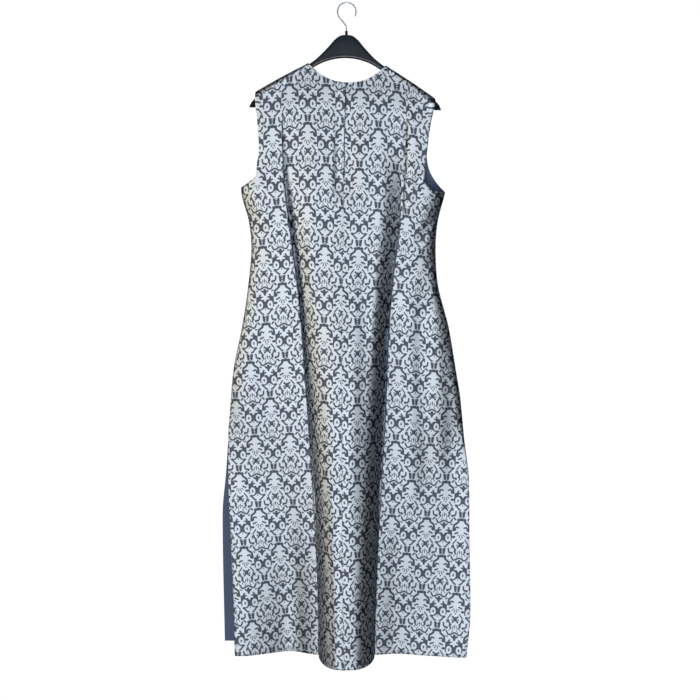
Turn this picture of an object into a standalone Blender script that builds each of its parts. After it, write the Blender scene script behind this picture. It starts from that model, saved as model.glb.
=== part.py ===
"""A sleeveless full-length damask robe, seen from its back, on a broad plastic hanger.

The frame: the inner top of the hanger's hook is the origin, +Z is up, +X is to the right of
someone who looks at the robe's back, and the back faces -Y. Every size is in millimetres here
and is multiplied by MM where it becomes a point, so that the model is in metres.

The cloth is a set of thin walls. Each wall starts as a grid of points on its outer face: rows run
from the shoulders to the hem and columns from the left side to the right. The depth of a point is
worked out from its place, with the tables below, and the inner face is the same grid moved in
along its normals.
"""

import math

import bmesh
import bpy
import numpy as np

MM = 0.001

# Cloth
CLOTH = 1.6            # brocade wall
LINING = 1.0           # lining wall
SEAM_GAP = 0.3         # between two pieces that are sewn together
SEAT_GAP = 0.7         # between the lining on the shoulders and the hanger below it
HEM_LEVEL = -1531.0

# Shoulders and neck
NECK_HALF_WIDTH = 89.0
NECK_MIDDLE = -3.0        # x of the lowest point of the neck
BACK_NECK_DROP = 42.0
BACK_NECK_POWER = 2.3
FRONT_NECK_DROP = 72.0
FRONT_NECK_POWER = 2.1
TIP_LEFT = -209.5
TIP_RIGHT = 202.0
LEFT_SHOULDER_LIFT = 9.0  # the left shoulder stands this far off the hanger at its tip
SHOULDER_BLEND = 90.0     # below the ridge, the depth turns from the hanger's into the body's
SHOULDER_ROUND = 0.62     # height of the fold over the hanger, as a part of its half depth
HANGER_ROOM = 5.2         # between the hanger's arms and the cloth in front of and behind them
SLIT_START = -930.0       # where the side seams end
CREASE_START = 0.7        # part of the side panel that the fall into the crease leaves alone
FLUTE_GROWTH = 0.8        # how the front's flutes grow on their way down: 1 is evenly

# Zip
ZIP_GAP = 1.2
ZIP_END_LEVEL = -402.0
TAPE_HALF_WIDTH = 12.0
TAPE_WALL = 1.0
TAPE_GAP = 0.6          # between the zip's tape and the back
HINGE_LEVEL = -214.0
SLIDER_WIDTH = 4.0
SLIDER_HEIGHT = 11.0
SLIDER_DEPTH = 1.2
SLIDER_BEVEL = 0.35
HINGE_STAND = 1.0       # from the slider's face out to the tab's hinge
BAIL_WIRE = 0.8
BAIL_HALF_HEIGHT = 2.7
BAIL_REACH = 1.3        # from the hinge out to the middle of the bail's wire
BAIL_FOOT = 0.5         # how deep the bail's ends are set in the slider
BAIL_SQUARE = 0.6       # the bail's power: 1 is half a circle, less is squarer
BAIL_STEPS = 8
TAB_LENGTH = 22.0
TAB_HALF_WIDTH = 1.9
TAB_END_RADIUS = 2.3
TAB_DEPTH = 0.9
TAB_BAR = 1.0
TAB_HOLE_HALF_WIDTH = 1.1
TAB_HOLE_END = 3.8
TAB_HOLE_CORNER = 0.8
TAB_HOLE_TIP = 0.5      # half width of the hole's lower end
TAB_SHOULDER = 1.0      # from the hole's end to where the tab widens
TAB_END_ANGLE = 190.0   # degrees, where the round end starts
TAB_END_TURN = 160.0
TAB_END_STEPS = 8
SLOPE_REACH = 10.0      # each way, for the slope of the seam at the slider

# Hanger
HANGER_TILT = 0.9       # degrees, the right end hangs lower
HOOK_WIRE = 3.0
HOOK_RADIUS = 21.0      # to the middle of the wire
HOOK_TIP_ANGLE = -28.0  # degrees below the right-hand side of the circle
HOOK_LEAVE_ANGLE = 216.0
HOOK_STEPS = 30
STEM_START = -58.0
STEM_END = -69.7
STEM_PULL = 11.0        # how far each end of the bend into the stem runs on straight
STEM_STEPS = 12
COLLAR_TOP = -62.0
COLLAR_BOTTOM = -70.1
COLLAR_RADIUS = 3.2
COLLAR_BORE = 1.8
COLLAR_STEPS = 24
ARM_RISE = 0.75         # height of the arm's rounded top, as a part of its half depth
ARM_RISE_LIMIT = 0.6    # the most of that height, as a part of the arm's whole height
ARM_SQUARE = 0.6        # the underside's power: 1 is half an ellipse, less is squarer

WELD = 0.00001          # metres, points closer than this become one
SHARP_ANGLE = 35.0      # degrees, edges that turn more than this stay sharp


def table(columns, rows):
    """Rows of numbers as a dictionary of named columns."""
    data = np.array(rows, dtype=float)
    return {name: data[:, place] for place, name in enumerate(columns.split())}


# The back's section at each level: x of the sides, the two long creases and the crown of the
# central flute, and y of the side edges, the flat valleys beside the creases, the creases and the
# crown. span is how far in from the side the section rounds, free is 0 where the side is sewn
# and 1 where it hangs open, and round is the flute's power: 1 is half an ellipse, 2 a low hump.
BACK = table(
    "level left right crease_l crease_r crown_x edge_l edge_r valley_l valley_r "
    "crease_yl crease_yr crown_y span free round",
    [
        (-200, -248, 240, -148, 122, -4.5, 0, 0, -28, -28, -28, -28, -28, 62, 0, 2.0),
        (-330, -247, 235, -147, 118, -6.0, 0, 0, -30, -30, -30, -30, -31, 62, 0, 2.0),
        (-425, -245, 228, -142, 109, -7.0, 0, 0, -31, -31, -31, -31, -34, 62, 0, 1.9),
        (-490, -229, 212, -134, 107, -8.0, 0, 0, -30, -30, -30, -30, -37, 60, 0, 1.8),
        (-550, -223, 207, -127, 105, -9.0, 0, 0, -28, -28, -28, -28, -41, 60, 0, 1.7),
        (-640, -231, 213, -115, 102, -10.5, 0, 0, -26, -27, -27, -27, -50, 62, 0, 1.5),
        (-740, -247, 239, -106, 98, -11.5, 0, 0, -24, -27, -26, -27, -62, 70, 0, 1.35),
        (-840, -268, 257, -99, 94, -11.5, 0, 0, -22, -27, -26, -28, -75, 80, 0, 1.25),
        (-930, -277, 271, -93, 91, -11.5, 0, 0, -20, -27, -26, -28, -84, 90, 0, 1.2),
        (-1010, -283, 279, -88, 87, -11.5, -7, -7, -18, -27, -26, -29, -91, 110, 0.5, 1.12),
        (-1100, -283, 290, -82, 82, -11.5, -15, -17, -15, -28, -28, -31, -99, 130, 1, 1.0),
        (-1250, -278, 292, -74, 74, -11.0, -29, -32, -12, -29, -32, -34, -111, 150, 1, 0.88),
        (-1420, -272, 295, -68, 68, -9.0, -42, -47, -9, -31, -36, -37, -126, 160, 1, 0.76),
        (-1531, -270, 286, -68, 66, -5.5, -51, -58, -8, -33, -38, -39, -135, 165, 1, 0.7),
    ],
)

# The front's section at each level, as for the back. plate is the depth of its flat middle.
FRONT = table(
    "level left right edge_l edge_r plate span free",
    [
        (-200, -248, 240, 0, 0, 28, 62, 0),
        (-330, -247, 235, 0, 0, 31, 62, 0),
        (-425, -245, 228, 0, 0, 33, 62, 0),
        (-490, -229, 212, 0, 0, 32, 60, 0),
        (-550, -223, 207, 0, 0, 31, 60, 0),
        (-640, -231, 213, 0, 0, 31, 62, 0),
        (-740, -247, 239, 0, 0, 32, 70, 0),
        (-840, -268, 257, 0, 0, 33, 80, 0),
        (-930, -277, 271, 0, 0, 34, 90, 0),
        (-1010, -284, 273, 9, 6, 35, 110, 0.5),
        (-1100, -292, 277, 19, 14, 36, 130, 1),
        (-1180, -301, 277, 26, 19, 37, 140, 1),
        (-1250, -303, 276, 32, 24, 38, 150, 1),
        (-1420, -304, 274, 46, 34, 40, 160, 1),
        (-1531, -304, 272, 55, 40, 41, 165, 1),
    ],
)

# Soft flutes down the front: x and half width at the top and at the hem, the level where each
# starts, and how far it stands out at the hem.
FRONT_FLUTES = table(
    "top_x hem_x top_half hem_half start rise",
    [
        (-112, -172, 62, 74, -520, 27),
        (4, 0, 96, 84, -430, 50),
        (108, 166, 60, 70, -600, 23),
    ],
)

# Armhole edges: x of each edge at each level. The first row is the shoulder tip.
ARMHOLES = table(
    "level back_l back_r front_l front_r",
    [
        (-190, -209.5, 202, -209.5, 202),
        (-216, -209, 202, -209, 202),
        (-245, -207, 197, -204, 197),
        (-272, -204, 191, -200, 191),
        (-300, -202, 187, -198, 188),
        (-330, -201.5, 184, -197, 186),
        (-360, -206, 180, -200, 188.5),
        (-382, -208, 178, -206, 195.5),
        (-392, -211, 177, -214, 201),
        (-404, -227, 179, -229, 209),
        (-412, -239, 184.5, -240, 215.5),
        (-417, -247, 190, -247, 219.5),
        (-421, -247, 196.5, -247, 223.5),
        (-424, -247, 205, -247, 226),
        (-427, -247, 228, -247, 228),
        (-500, -247, 228, -247, 228),
    ],
)
UNDERARM_LEFT = -416.5
UNDERARM_RIGHT = -427.0

# Levels of the rows below the yoke, at the left side and at the right.
ROWS = table(
    "left right",
    [
        (-300, -300), (-330, -332), (-360, -364), (-382, -391), (-396, -407), (-406, -417),
        (-412, -422.5), (-414.7, -425.2), (-416.5, -427), (-428, -437), (-460, -464),
        (-505, -507), (-550, -550), (-600, -600), (-660, -660),
        (-725, -725), (-790, -790), (-860, -860), (-930, -930), (-1000, -1000), (-1080, -1080),
        (-1170, -1170), (-1260, -1260), (-1350, -1350), (-1440, -1440),
        (HEM_LEVEL, HEM_LEVEL),
    ],
)

# Rows of the yoke, as parts of the way from the shoulder down to the first row above.
YOKE_ROWS = (0.0, 0.012, 0.05, 0.12, 0.24, 0.42, 0.68)

# Columns of the back's left half: parts of the way from the side to the crease, then degrees
# round the flute from the crease to its crown. The front's are parts of its whole width.
SIDE_COLUMNS = tuple((step / 7) ** 1.6 for step in range(7))
FLUTE_COLUMNS = tuple(10.0 * step for step in range(9))
FRONT_COLUMNS = 24
FRONT_CROWDING = 0.6    # how far the front's columns crowd to the sides: 0 is even

# Where the columns end on half a neckline, as parts of its half width from the middle outwards.
NECK_COLUMNS = (0.0, 0.2, 0.4, 0.6, 0.78, 0.91, 0.975, 1.0)

NORMAL_BLENDS = 2       # times each normal is evened out with its neighbours

# The hanger's arm: x from the middle, z of its top and underside, and half its depth.
ARM = table(
    "x top bottom half",
    [
        (0, -70.4, -122.5, 6.0),
        (14, -72.5, -123.3, 6.0),
        (27, -82.0, -125.3, 6.0),
        (38, -94.5, -128.0, 6.0),
        (50, -107.5, -131.9, 5.6),
        (66, -123.0, -139.5, 5.0),
        (90, -140.9, -154.5, 5.0),
        (120, -159.0, -171.5, 11.5),
        (150, -177.5, -193.5, 16.0),
        (180, -197.0, -216.0, 18.0),
        (200, -210.5, -233.0, 18.0),
        (210, -218.5, -236.5, 16.0),
        (216, -225.5, -236.5, 13.0),
        (219.5, -232.0, -236.0, 6.0),
    ],
)
ARM_EXTRA = (58, 74, 82, 97, 105, 135, 165, 190, 206)  # x of more sections of the arm
ARM_RING = 16           # points round a section

COLOURS = {
    "brocade": ((0.52, 0.56, 0.61), 0.5, 0.0),
    "lining": ((0.12, 0.16, 0.24), 0.6, 0.0),
    "zip_tape": ((0.03, 0.035, 0.045), 0.8, 0.0),
    "zip_metal": ((0.05, 0.055, 0.07), 0.4, 1.0),
    "hanger_plastic": ((0.008, 0.012, 0.02), 0.3, 0.0),
    "hook_steel": ((0.65, 0.67, 0.7), 0.18, 1.0),
}


def slopes(x, y):
    """Slopes at the points of a curve that never swings past them (limited Hermite slopes)."""
    step = np.diff(y) / np.diff(x)
    slope = np.concatenate(([step[0]], (step[1:] + step[:-1]) / 2, [step[-1]]))
    same_way = step[1:] * step[:-1] > 0
    limit = 3 * np.minimum(np.abs(step[1:]), np.abs(step[:-1]))
    inner = np.sign(step[1:]) * np.minimum(np.abs(slope[1:-1]), limit)
    slope[1:-1] = np.where(same_way, inner, 0.0)
    return slope


def along(columns, name, level, key="level"):
    """A column's value at any level, on a smooth curve through its rows."""
    x = columns[key]
    y = columns[name]
    if x[0] > x[-1]:
        x = x[::-1]
        y = y[::-1]
    slope = slopes(x, y)
    at = np.clip(level, x[0], x[-1])
    cell = np.clip(np.searchsorted(x, at) - 1, 0, len(x) - 2)
    width = x[cell + 1] - x[cell]
    t = (at - x[cell]) / width
    start = y[cell] * (1 + 2 * t) * (1 - t) ** 2 + slope[cell] * width * t * (1 - t) ** 2
    end = y[cell + 1] * t ** 2 * (3 - 2 * t) - slope[cell + 1] * width * t ** 2 * (1 - t)
    return start + end


def smooth(t):
    """An even S from 0 to 1."""
    t = np.clip(t, 0.0, 1.0)
    return t * t * (3 - 2 * t)


def quarter(t):
    """A quarter of an ellipse: it leaves 0 upright and reaches 1 level."""
    return np.sqrt(1 - (1 - np.clip(t, 0.0, 1.0)) ** 2)


def arm_top(x):
    """The height of the hanger's top at x, turned with the hanger's tilt."""
    tilt = math.radians(HANGER_TILT)
    straight = x * math.cos(tilt) - along(ARM, "top", np.abs(x), "x") * math.sin(tilt)
    top = along(ARM, "top", np.abs(straight), "x")
    return top * math.cos(tilt) - straight * math.sin(tilt)


def ridge(x):
    """The height of the cloth's outer face on top of the shoulders."""
    place = np.sign(x) * np.maximum(np.abs(x), NECK_HALF_WIDTH)
    slope = (arm_top(place + 1) - arm_top(place - 1)) / 2
    seat = (CLOTH + SEAM_GAP + LINING + SEAT_GAP) * np.sqrt(1 + slope ** 2)
    reach = np.clip((place + NECK_HALF_WIDTH) / (TIP_LEFT + NECK_HALF_WIDTH), 0.0, 1.0)
    return arm_top(place) + seat + LEFT_SHOULDER_LIFT * reach


def over_shoulder(x, z, depth):
    """Bends a panel's depth over the hanger: 0 on the ridge, the panel's own well below it."""
    below = ridge(x) - z
    place = np.maximum(np.abs(x), NECK_HALF_WIDTH)
    half = along(ARM, "half", place, "x") + CLOTH + LINING + HANGER_ROOM
    shoulder = np.sign(depth) * half
    body = shoulder + (depth - shoulder) * smooth(below / SHOULDER_BLEND)
    return body * quarter(below / (SHOULDER_ROUND * half + CLOTH))


def side_round(distance, span, free):
    """From 0 at the side to 1 a span in: upright where the side is sewn, level where it is free."""
    t = distance / span
    return quarter(t) * (1 - free) + smooth(t) * free


def back_depth(x, z):
    """y of the back's outer face."""
    crown_x = along(BACK, "crown_x", z)
    left = x < crown_x

    def pick(first, second):
        return np.where(left, along(BACK, first, z), along(BACK, second, z))

    side = pick("left", "right")
    crease = pick("crease_l", "crease_r")
    edge_y = pick("edge_l", "edge_r")
    valley_y = pick("valley_l", "valley_r")
    crease_y = pick("crease_yl", "crease_yr")
    distance = np.maximum(np.where(left, x - side, side - x), 0.0)
    to_crease = distance / np.abs(crease - side)
    turn = side_round(distance, along(BACK, "span", z), along(BACK, "free", z))
    panel = edge_y + (valley_y - edge_y) * turn
    panel = panel + (crease_y - valley_y) * smooth((to_crease - CREASE_START) / (1 - CREASE_START))
    across = np.clip((x - crown_x) / (crease - crown_x), 0.0, 1.0)
    hump = (1 - across ** 2) ** (along(BACK, "round", z) / 2)
    flute = crease_y + (along(BACK, "crown_y", z) - crease_y) * hump
    return over_shoulder(x, z, np.where(to_crease < 1, panel, flute))


def front_depth(x, z):
    """y of the front's outer face."""
    middle = (along(FRONT, "left", z) + along(FRONT, "right", z)) / 2
    left = x < middle
    side = np.where(left, along(FRONT, "left", z), along(FRONT, "right", z))
    edge_y = np.where(left, along(FRONT, "edge_l", z), along(FRONT, "edge_r", z))
    distance = np.maximum(np.where(left, x - side, side - x), 0.0)
    turn = side_round(distance, along(FRONT, "span", z), along(FRONT, "free", z))
    depth = edge_y + (along(FRONT, "plate", z) - edge_y) * turn
    for flute in range(len(FRONT_FLUTES["rise"])):
        start = FRONT_FLUTES["start"][flute]
        part = np.clip((start - z) / (start - HEM_LEVEL), 0.0, 1.0)
        place = FRONT_FLUTES["top_x"][flute] * (1 - part) + FRONT_FLUTES["hem_x"][flute] * part
        half = FRONT_FLUTES["top_half"][flute] * (1 - part) + FRONT_FLUTES["hem_half"][flute] * part
        hump = np.cos(np.clip((x - place) / half, -1, 1) * math.pi / 2) ** 2
        depth = depth + FRONT_FLUTES["rise"][flute] * part ** FLUTE_GROWTH * hump
    return over_shoulder(x, z, depth)


def neck_line(x, drop, power):
    """The height of a neckline at x."""
    left = ridge(-NECK_HALF_WIDTH)
    right = ridge(NECK_HALF_WIDTH)
    corner = left + (right - left) * (x / NECK_HALF_WIDTH + 1) / 2
    across = np.clip(np.abs(x) / NECK_HALF_WIDTH, 0.0, 1.0)
    return corner - drop + drop * across ** power


def back_row(left_level, right_level):
    """x of the back's columns on one row, from its left side to its right."""
    middle = (left_level + right_level) / 2
    left = max(along(BACK, "left", left_level), along(ARMHOLES, "back_l", left_level))
    right = min(along(BACK, "right", right_level), along(ARMHOLES, "back_r", right_level))
    if left_level <= UNDERARM_LEFT:
        left = along(BACK, "left", left_level)
    if right_level <= UNDERARM_RIGHT:
        right = along(BACK, "right", right_level)
    crown = along(BACK, "crown_x", middle)
    crease_left = along(BACK, "crease_l", middle)
    crease_right = along(BACK, "crease_r", middle)
    sides = np.array(SIDE_COLUMNS)
    turn = np.cos(np.radians(FLUTE_COLUMNS))
    left_half = np.concatenate((left + (crease_left - left) * sides,
                                crown + (crease_left - crown) * turn))
    right_half = np.concatenate((right + (crease_right - right) * sides,
                                 crown + (crease_right - crown) * turn))
    return np.concatenate((left_half, [crown], right_half[::-1]))


def front_row(left_level, right_level):
    """x of the front's columns on one row, from its left side to its right."""
    left = max(along(FRONT, "left", left_level), along(ARMHOLES, "front_l", left_level))
    right = min(along(FRONT, "right", right_level), along(ARMHOLES, "front_r", right_level))
    if left_level <= UNDERARM_LEFT:
        left = along(FRONT, "left", left_level)
    if right_level <= UNDERARM_RIGHT:
        right = along(FRONT, "right", right_level)
    even = np.arange(FRONT_COLUMNS + 1) / FRONT_COLUMNS
    crowded = (1 - np.cos(math.pi * even)) / 2
    return left + (right - left) * (even * (1 - FRONT_CROWDING) + crowded * FRONT_CROWDING)


def top_row(low, drop, power):
    """x and z of a panel's top edge: the shoulders, and the neckline between them."""
    middle = len(low) // 2
    last = len(low) - 1
    corner = middle - len(NECK_COLUMNS) + 1
    marks = [low[0], low[corner], low[last - corner], low[last]]
    x = np.interp(low, marks, [TIP_LEFT, -NECK_HALF_WIDTH, NECK_HALF_WIDTH, TIP_RIGHT])
    away = np.array(NECK_COLUMNS)
    half = NECK_HALF_WIDTH * away
    shift = NECK_MIDDLE * (1 - away)
    x[corner:middle + 1] = (shift - half)[::-1]
    x[middle:last - corner + 1] = shift + half
    z = np.where(np.abs(x) < NECK_HALF_WIDTH, neck_line(x, drop, power), ridge(x))
    return x, z


def outer_grid(row, depth, armholes, drop, power):
    """The outer points of a panel, rows by columns by x, y and z."""
    levels = list(zip(ROWS["left"], ROWS["right"]))
    low = row(*levels[0])
    share = (low - low[0]) / (low[-1] - low[0])
    top_x, top_z = top_row(low, drop, power)
    top_share = (top_x - TIP_LEFT) / (TIP_RIGHT - TIP_LEFT)
    rows = []
    for part in YOKE_ROWS:
        z = top_z + (levels[0][0] - top_z) * part
        left = along(ARMHOLES, armholes + "_l", z)
        right = along(ARMHOLES, armholes + "_r", z)
        across = top_share + (share - top_share) * smooth(part)
        rows.append((left + (right - left) * across, z))
    for left_level, right_level in levels:
        rows.append((row(left_level, right_level), left_level + (right_level - left_level) * share))
    x = np.array([r[0] for r in rows])
    z = np.array([r[1] for r in rows])
    y = np.array([depth(x[r], z[r]) for r in range(len(rows))])
    return np.stack((x, y, z), axis=-1)


def normals(grid, outward):
    """Unit normals at a grid's points, on the side that outward points to."""
    down = np.gradient(grid, axis=0)
    right = np.gradient(grid, axis=1)
    normal = np.cross(down, right)
    if np.mean(normal @ np.array(outward)) < 0:
        normal = -normal
    normal /= np.linalg.norm(normal, axis=-1, keepdims=True)
    for _ in range(NORMAL_BLENDS):
        wide = np.pad(normal, ((1, 1), (1, 1), (0, 0)), mode="edge")
        beside = wide[:-2, 1:-1] + wide[2:, 1:-1] + wide[1:-1, :-2] + wide[1:-1, 2:]
        normal = normal * 2 + beside
        normal /= np.linalg.norm(normal, axis=-1, keepdims=True)
    return normal


def flatten(normal, part, axis):
    """Keeps some normals in a seam's plane, so that the wall's edge there is square to it."""
    normal[part + (axis,)] = 0.0
    normal[part] /= np.linalg.norm(normal[part], axis=-1, keepdims=True)


def wall(name, outer, inner, collection, colour):
    """Closes two grids into one wall, each cell cut along the same diagonal on both faces."""
    rows, columns = outer.shape[:2]
    count = rows * columns
    index = np.arange(count).reshape(rows, columns)
    a = index[:-1, :-1].ravel()
    b = index[1:, :-1].ravel()
    c = index[1:, 1:].ravel()
    d = index[:-1, 1:].ravel()
    face = np.concatenate((np.stack((a, b, c), 1), np.stack((a, c, d), 1)))
    rim = np.concatenate((index[:, 0], index[-1, 1:], index[-2::-1, -1], index[0, -2:0:-1]))
    after = np.roll(rim, -1)
    edge = np.concatenate((np.stack((after, rim, rim + count), 1),
                           np.stack((after, rim + count, after + count), 1)))
    faces = np.concatenate((face, face[:, ::-1] + count, edge))
    points = np.concatenate((outer.reshape(-1, 3), inner.reshape(-1, 3))) * MM
    mesh = bpy.data.meshes.new(name)
    mesh.from_pydata(points.tolist(), [], faces.tolist())
    return finish_mesh(name, mesh, collection, colour)


def finish_mesh(name, mesh, collection, colour):
    """Turns a mesh's faces outwards and gives it an object and a material."""
    shape = bmesh.new()
    shape.from_mesh(mesh)
    bmesh.ops.recalc_face_normals(shape, faces=shape.faces)
    if shape.calc_volume(signed=True) < 0:
        bmesh.ops.reverse_faces(shape, faces=shape.faces)
    shape.to_mesh(mesh)
    shape.free()
    mesh.shade_smooth()
    mesh.set_sharp_from_angle(angle=math.radians(SHARP_ANGLE))
    item = bpy.data.objects.new(name, mesh)
    collection.objects.link(item)
    item.data.materials.append(material(colour))
    return item


def material(colour):
    """The material of one finish, made once."""
    found = bpy.data.materials.get(colour)
    if found:
        return found
    base, roughness, metallic = COLOURS[colour]
    made = bpy.data.materials.new(colour)
    made.use_nodes = True
    shader = made.node_tree.nodes["Principled BSDF"]
    shader.inputs["Base Color"].default_value = (*base, 1.0)
    shader.inputs["Roughness"].default_value = roughness
    shader.inputs["Metallic"].default_value = metallic
    return made


def back_panels(collection):
    """The two back halves, and the grid of outer points that the zip is placed on."""
    grid = outer_grid(back_row, back_depth, "back", BACK_NECK_DROP, BACK_NECK_POWER)
    underarm = len(YOKE_ROWS) + int(np.argmin(np.abs(ROWS["left"] - UNDERARM_LEFT)))
    slit = len(YOKE_ROWS) + int(np.argmin(np.abs(ROWS["left"] - SLIT_START)))
    grid[0, on_shoulder(grid[0]), 1] = -SEAM_GAP / 2
    for column in (0, -1):
        grid[underarm:slit + 1, column, 1] = -SEAM_GAP / 2
    middle = grid.shape[1] // 2
    zipped = grid[:, middle, 2] > ZIP_END_LEVEL
    half_gap = np.where(zipped, ZIP_GAP, SEAM_GAP) / 2
    for name, part, side in (("back_left", slice(None, middle + 1), -1),
                             ("back_right", slice(middle, None), 1)):
        half = grid[:, part].copy()
        seam = -1 if side < 0 else 0
        outside = 0 if side < 0 else -1
        half[:, seam, 0] += side * half_gap
        normal = normals(half, (0, -1, 0))
        flatten(normal, (0, on_shoulder(half[0])), 1)
        flatten(normal, (slice(underarm, slit + 1), outside), 1)
        flatten(normal, (slice(None), seam), 0)
        wall(name, half, half - normal * CLOTH, collection, "brocade")
    return grid


def on_shoulder(row):
    """The points of a top row that lie on the shoulder seams."""
    return np.abs(row[:, 0]) >= NECK_HALF_WIDTH - 1e-6


def front_panels(collection):
    """The front, and the lining inside it made from its points moved in."""
    grid = outer_grid(front_row, front_depth, "front", FRONT_NECK_DROP, FRONT_NECK_POWER)
    underarm = len(YOKE_ROWS) + int(np.argmin(np.abs(ROWS["left"] - UNDERARM_LEFT)))
    slit = len(YOKE_ROWS) + int(np.argmin(np.abs(ROWS["left"] - SLIT_START)))
    grid[0, on_shoulder(grid[0]), 1] = SEAM_GAP / 2
    for column in (0, -1):
        grid[underarm:slit + 1, column, 1] = SEAM_GAP / 2
    normal = normals(grid, (0, 1, 0))
    flatten(normal, (0, on_shoulder(grid[0])), 1)
    for column in (0, -1):
        flatten(normal, (slice(underarm, slit + 1), column), 1)
    wall("front", grid, grid - normal * CLOTH, collection, "brocade")
    face = grid - normal * (CLOTH + SEAM_GAP)
    wall("front_lining", face, face - normal * LINING, collection, "lining")


def cell_point(grid, row, column, x):
    """A point of a row at x, between two columns."""
    first = grid[row, column]
    second = grid[row, column + 1]
    t = (x - first[0]) / (second[0] - first[0])
    return first + (second - first) * t


def zip_tape(grid, collection):
    """The tape behind the zip's gap, made from the back's points moved in."""
    middle = grid.shape[1] // 2
    rows = [r for r in range(1, grid.shape[0]) if grid[r, middle, 2] > ZIP_END_LEVEL]
    face = []
    for row in rows:
        seam_x = grid[row, middle, 0]
        face.append([cell_point(grid, row, middle - 1, seam_x - TAPE_HALF_WIDTH),
                     cell_point(grid, row, middle - 1, seam_x - TAPE_HALF_WIDTH / 2),
                     grid[row, middle],
                     cell_point(grid, row, middle, seam_x + TAPE_HALF_WIDTH / 2),
                     cell_point(grid, row, middle, seam_x + TAPE_HALF_WIDTH)])
    face = np.array(face)
    normal = normals(face, (0, -1, 0))
    outer = face - normal * (CLOTH + TAPE_GAP)
    wall("zip_tape", outer, outer - normal * TAPE_WALL, collection, "zip_tape")


def seam_point(grid, level):
    """x, y and the slope dy/dz of the back's middle seam at a level."""
    middle = grid.shape[1] // 2
    line = grid[::-1, middle]
    x = np.interp(level, line[:, 2], line[:, 0])
    y = np.interp(level, line[:, 2], line[:, 1])
    above = np.interp(level + SLOPE_REACH, line[:, 2], line[:, 1])
    below = np.interp(level - SLOPE_REACH, line[:, 2], line[:, 1])
    return x, y, (above - below) / (2 * SLOPE_REACH)


def curve_object(name, splines, collection, **settings):
    """A curve object of poly splines."""
    curve = bpy.data.curves.new(name, "CURVE")
    for points, closed in splines:
        spline = curve.splines.new("POLY")
        spline.points.add(len(points) - 1)
        for target, point in zip(spline.points, points):
            target.co = (*[value * MM for value in point], 1.0)
        spline.use_cyclic_u = closed
    for key, value in settings.items():
        setattr(curve, key, value)
    item = bpy.data.objects.new(name, curve)
    collection.objects.link(item)
    return item


def zip_slider(grid, collection, cutters):
    """The slider's crown on the zip's face with its bail, and the tab that hangs on the bail."""
    x, y, slope = seam_point(grid, HINGE_LEVEL)
    lean = -math.atan(slope)
    face = y - SEAM_GAP - SLIDER_DEPTH
    bpy.ops.mesh.primitive_cube_add(size=1.0)
    slider = bpy.context.object
    slider.name = "zip_slider"
    slider.data.name = "zip_slider"
    slider.scale = (SLIDER_WIDTH * MM, SLIDER_DEPTH * MM, SLIDER_HEIGHT * MM)
    bpy.ops.object.transform_apply(location=False, rotation=False, scale=True)
    slider.location = (x * MM, (face + SLIDER_DEPTH / 2) * MM, HINGE_LEVEL * MM)
    slider.rotation_euler = (lean, 0, 0)
    bevel = slider.modifiers.new("edges", "BEVEL")
    bevel.width = SLIDER_BEVEL * MM
    bevel.segments = 2
    move(slider, collection)
    slider.data.materials.append(material("zip_metal"))

    hinge_y = -SLIDER_DEPTH / 2 - HINGE_STAND
    reach = hinge_y - BAIL_REACH
    foot = -SLIDER_DEPTH / 2 + BAIL_FOOT
    points = [(0, foot, BAIL_HALF_HEIGHT)]
    for step in range(BAIL_STEPS + 1):
        turn = math.pi * step / BAIL_STEPS
        swell = max(math.sin(turn), 0.0) ** BAIL_SQUARE
        points.append((0, -SLIDER_DEPTH / 2 + (reach + SLIDER_DEPTH / 2) * swell,
                       BAIL_HALF_HEIGHT * math.cos(turn)))
    points.append((0, foot, -BAIL_HALF_HEIGHT))
    wire = curve_object("bail_wire", [(points, False)], cutters, dimensions="3D",
                        bevel_depth=BAIL_WIRE / 2 * MM, bevel_resolution=1, use_fill_caps=True)
    wire.location = slider.location
    wire.rotation_euler = slider.rotation_euler
    bail = meshed(wire, "bail", cutters)
    union = slider.modifiers.new("bail", "BOOLEAN")
    union.operation = "UNION"
    union.object = bail

    side = [(-TAB_HALF_WIDTH, TAB_BAR / 2), (-TAB_HALF_WIDTH, -TAB_HOLE_END - TAB_SHOULDER)]
    centre = TAB_BAR / 2 - TAB_LENGTH + TAB_END_RADIUS
    turns = [math.radians(TAB_END_ANGLE + TAB_END_TURN * step / TAB_END_STEPS)
             for step in range(TAB_END_STEPS + 1)]
    end = [(TAB_END_RADIUS * math.cos(t), centre + TAB_END_RADIUS * math.sin(t)) for t in turns]
    outline = side + end + [(-px, py) for px, py in reversed(side)]
    corner = -TAB_HOLE_END + TAB_HOLE_CORNER
    hole = [(-TAB_HOLE_HALF_WIDTH, -TAB_BAR / 2), (TAB_HOLE_HALF_WIDTH, -TAB_BAR / 2),
            (TAB_HOLE_HALF_WIDTH, corner), (TAB_HOLE_TIP, -TAB_HOLE_END),
            (-TAB_HOLE_TIP, -TAB_HOLE_END), (-TAB_HOLE_HALF_WIDTH, corner)]
    flat = [([(px, py, 0) for px, py in line], True) for line in (outline, hole)]
    tab = curve_object("zip_pull_tab", flat, collection, dimensions="2D", fill_mode="BOTH",
                       extrude=TAB_DEPTH / 2 * MM)
    tab.data.materials.append(material("zip_metal"))
    hinge_back = SLIDER_DEPTH / 2 + HINGE_STAND
    tab.location = (slider.location.x,
                    slider.location.y - hinge_back * math.cos(lean) * MM,
                    slider.location.z - hinge_back * math.sin(lean) * MM)
    tab.rotation_euler = (math.radians(90) + lean, 0, 0)


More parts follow.
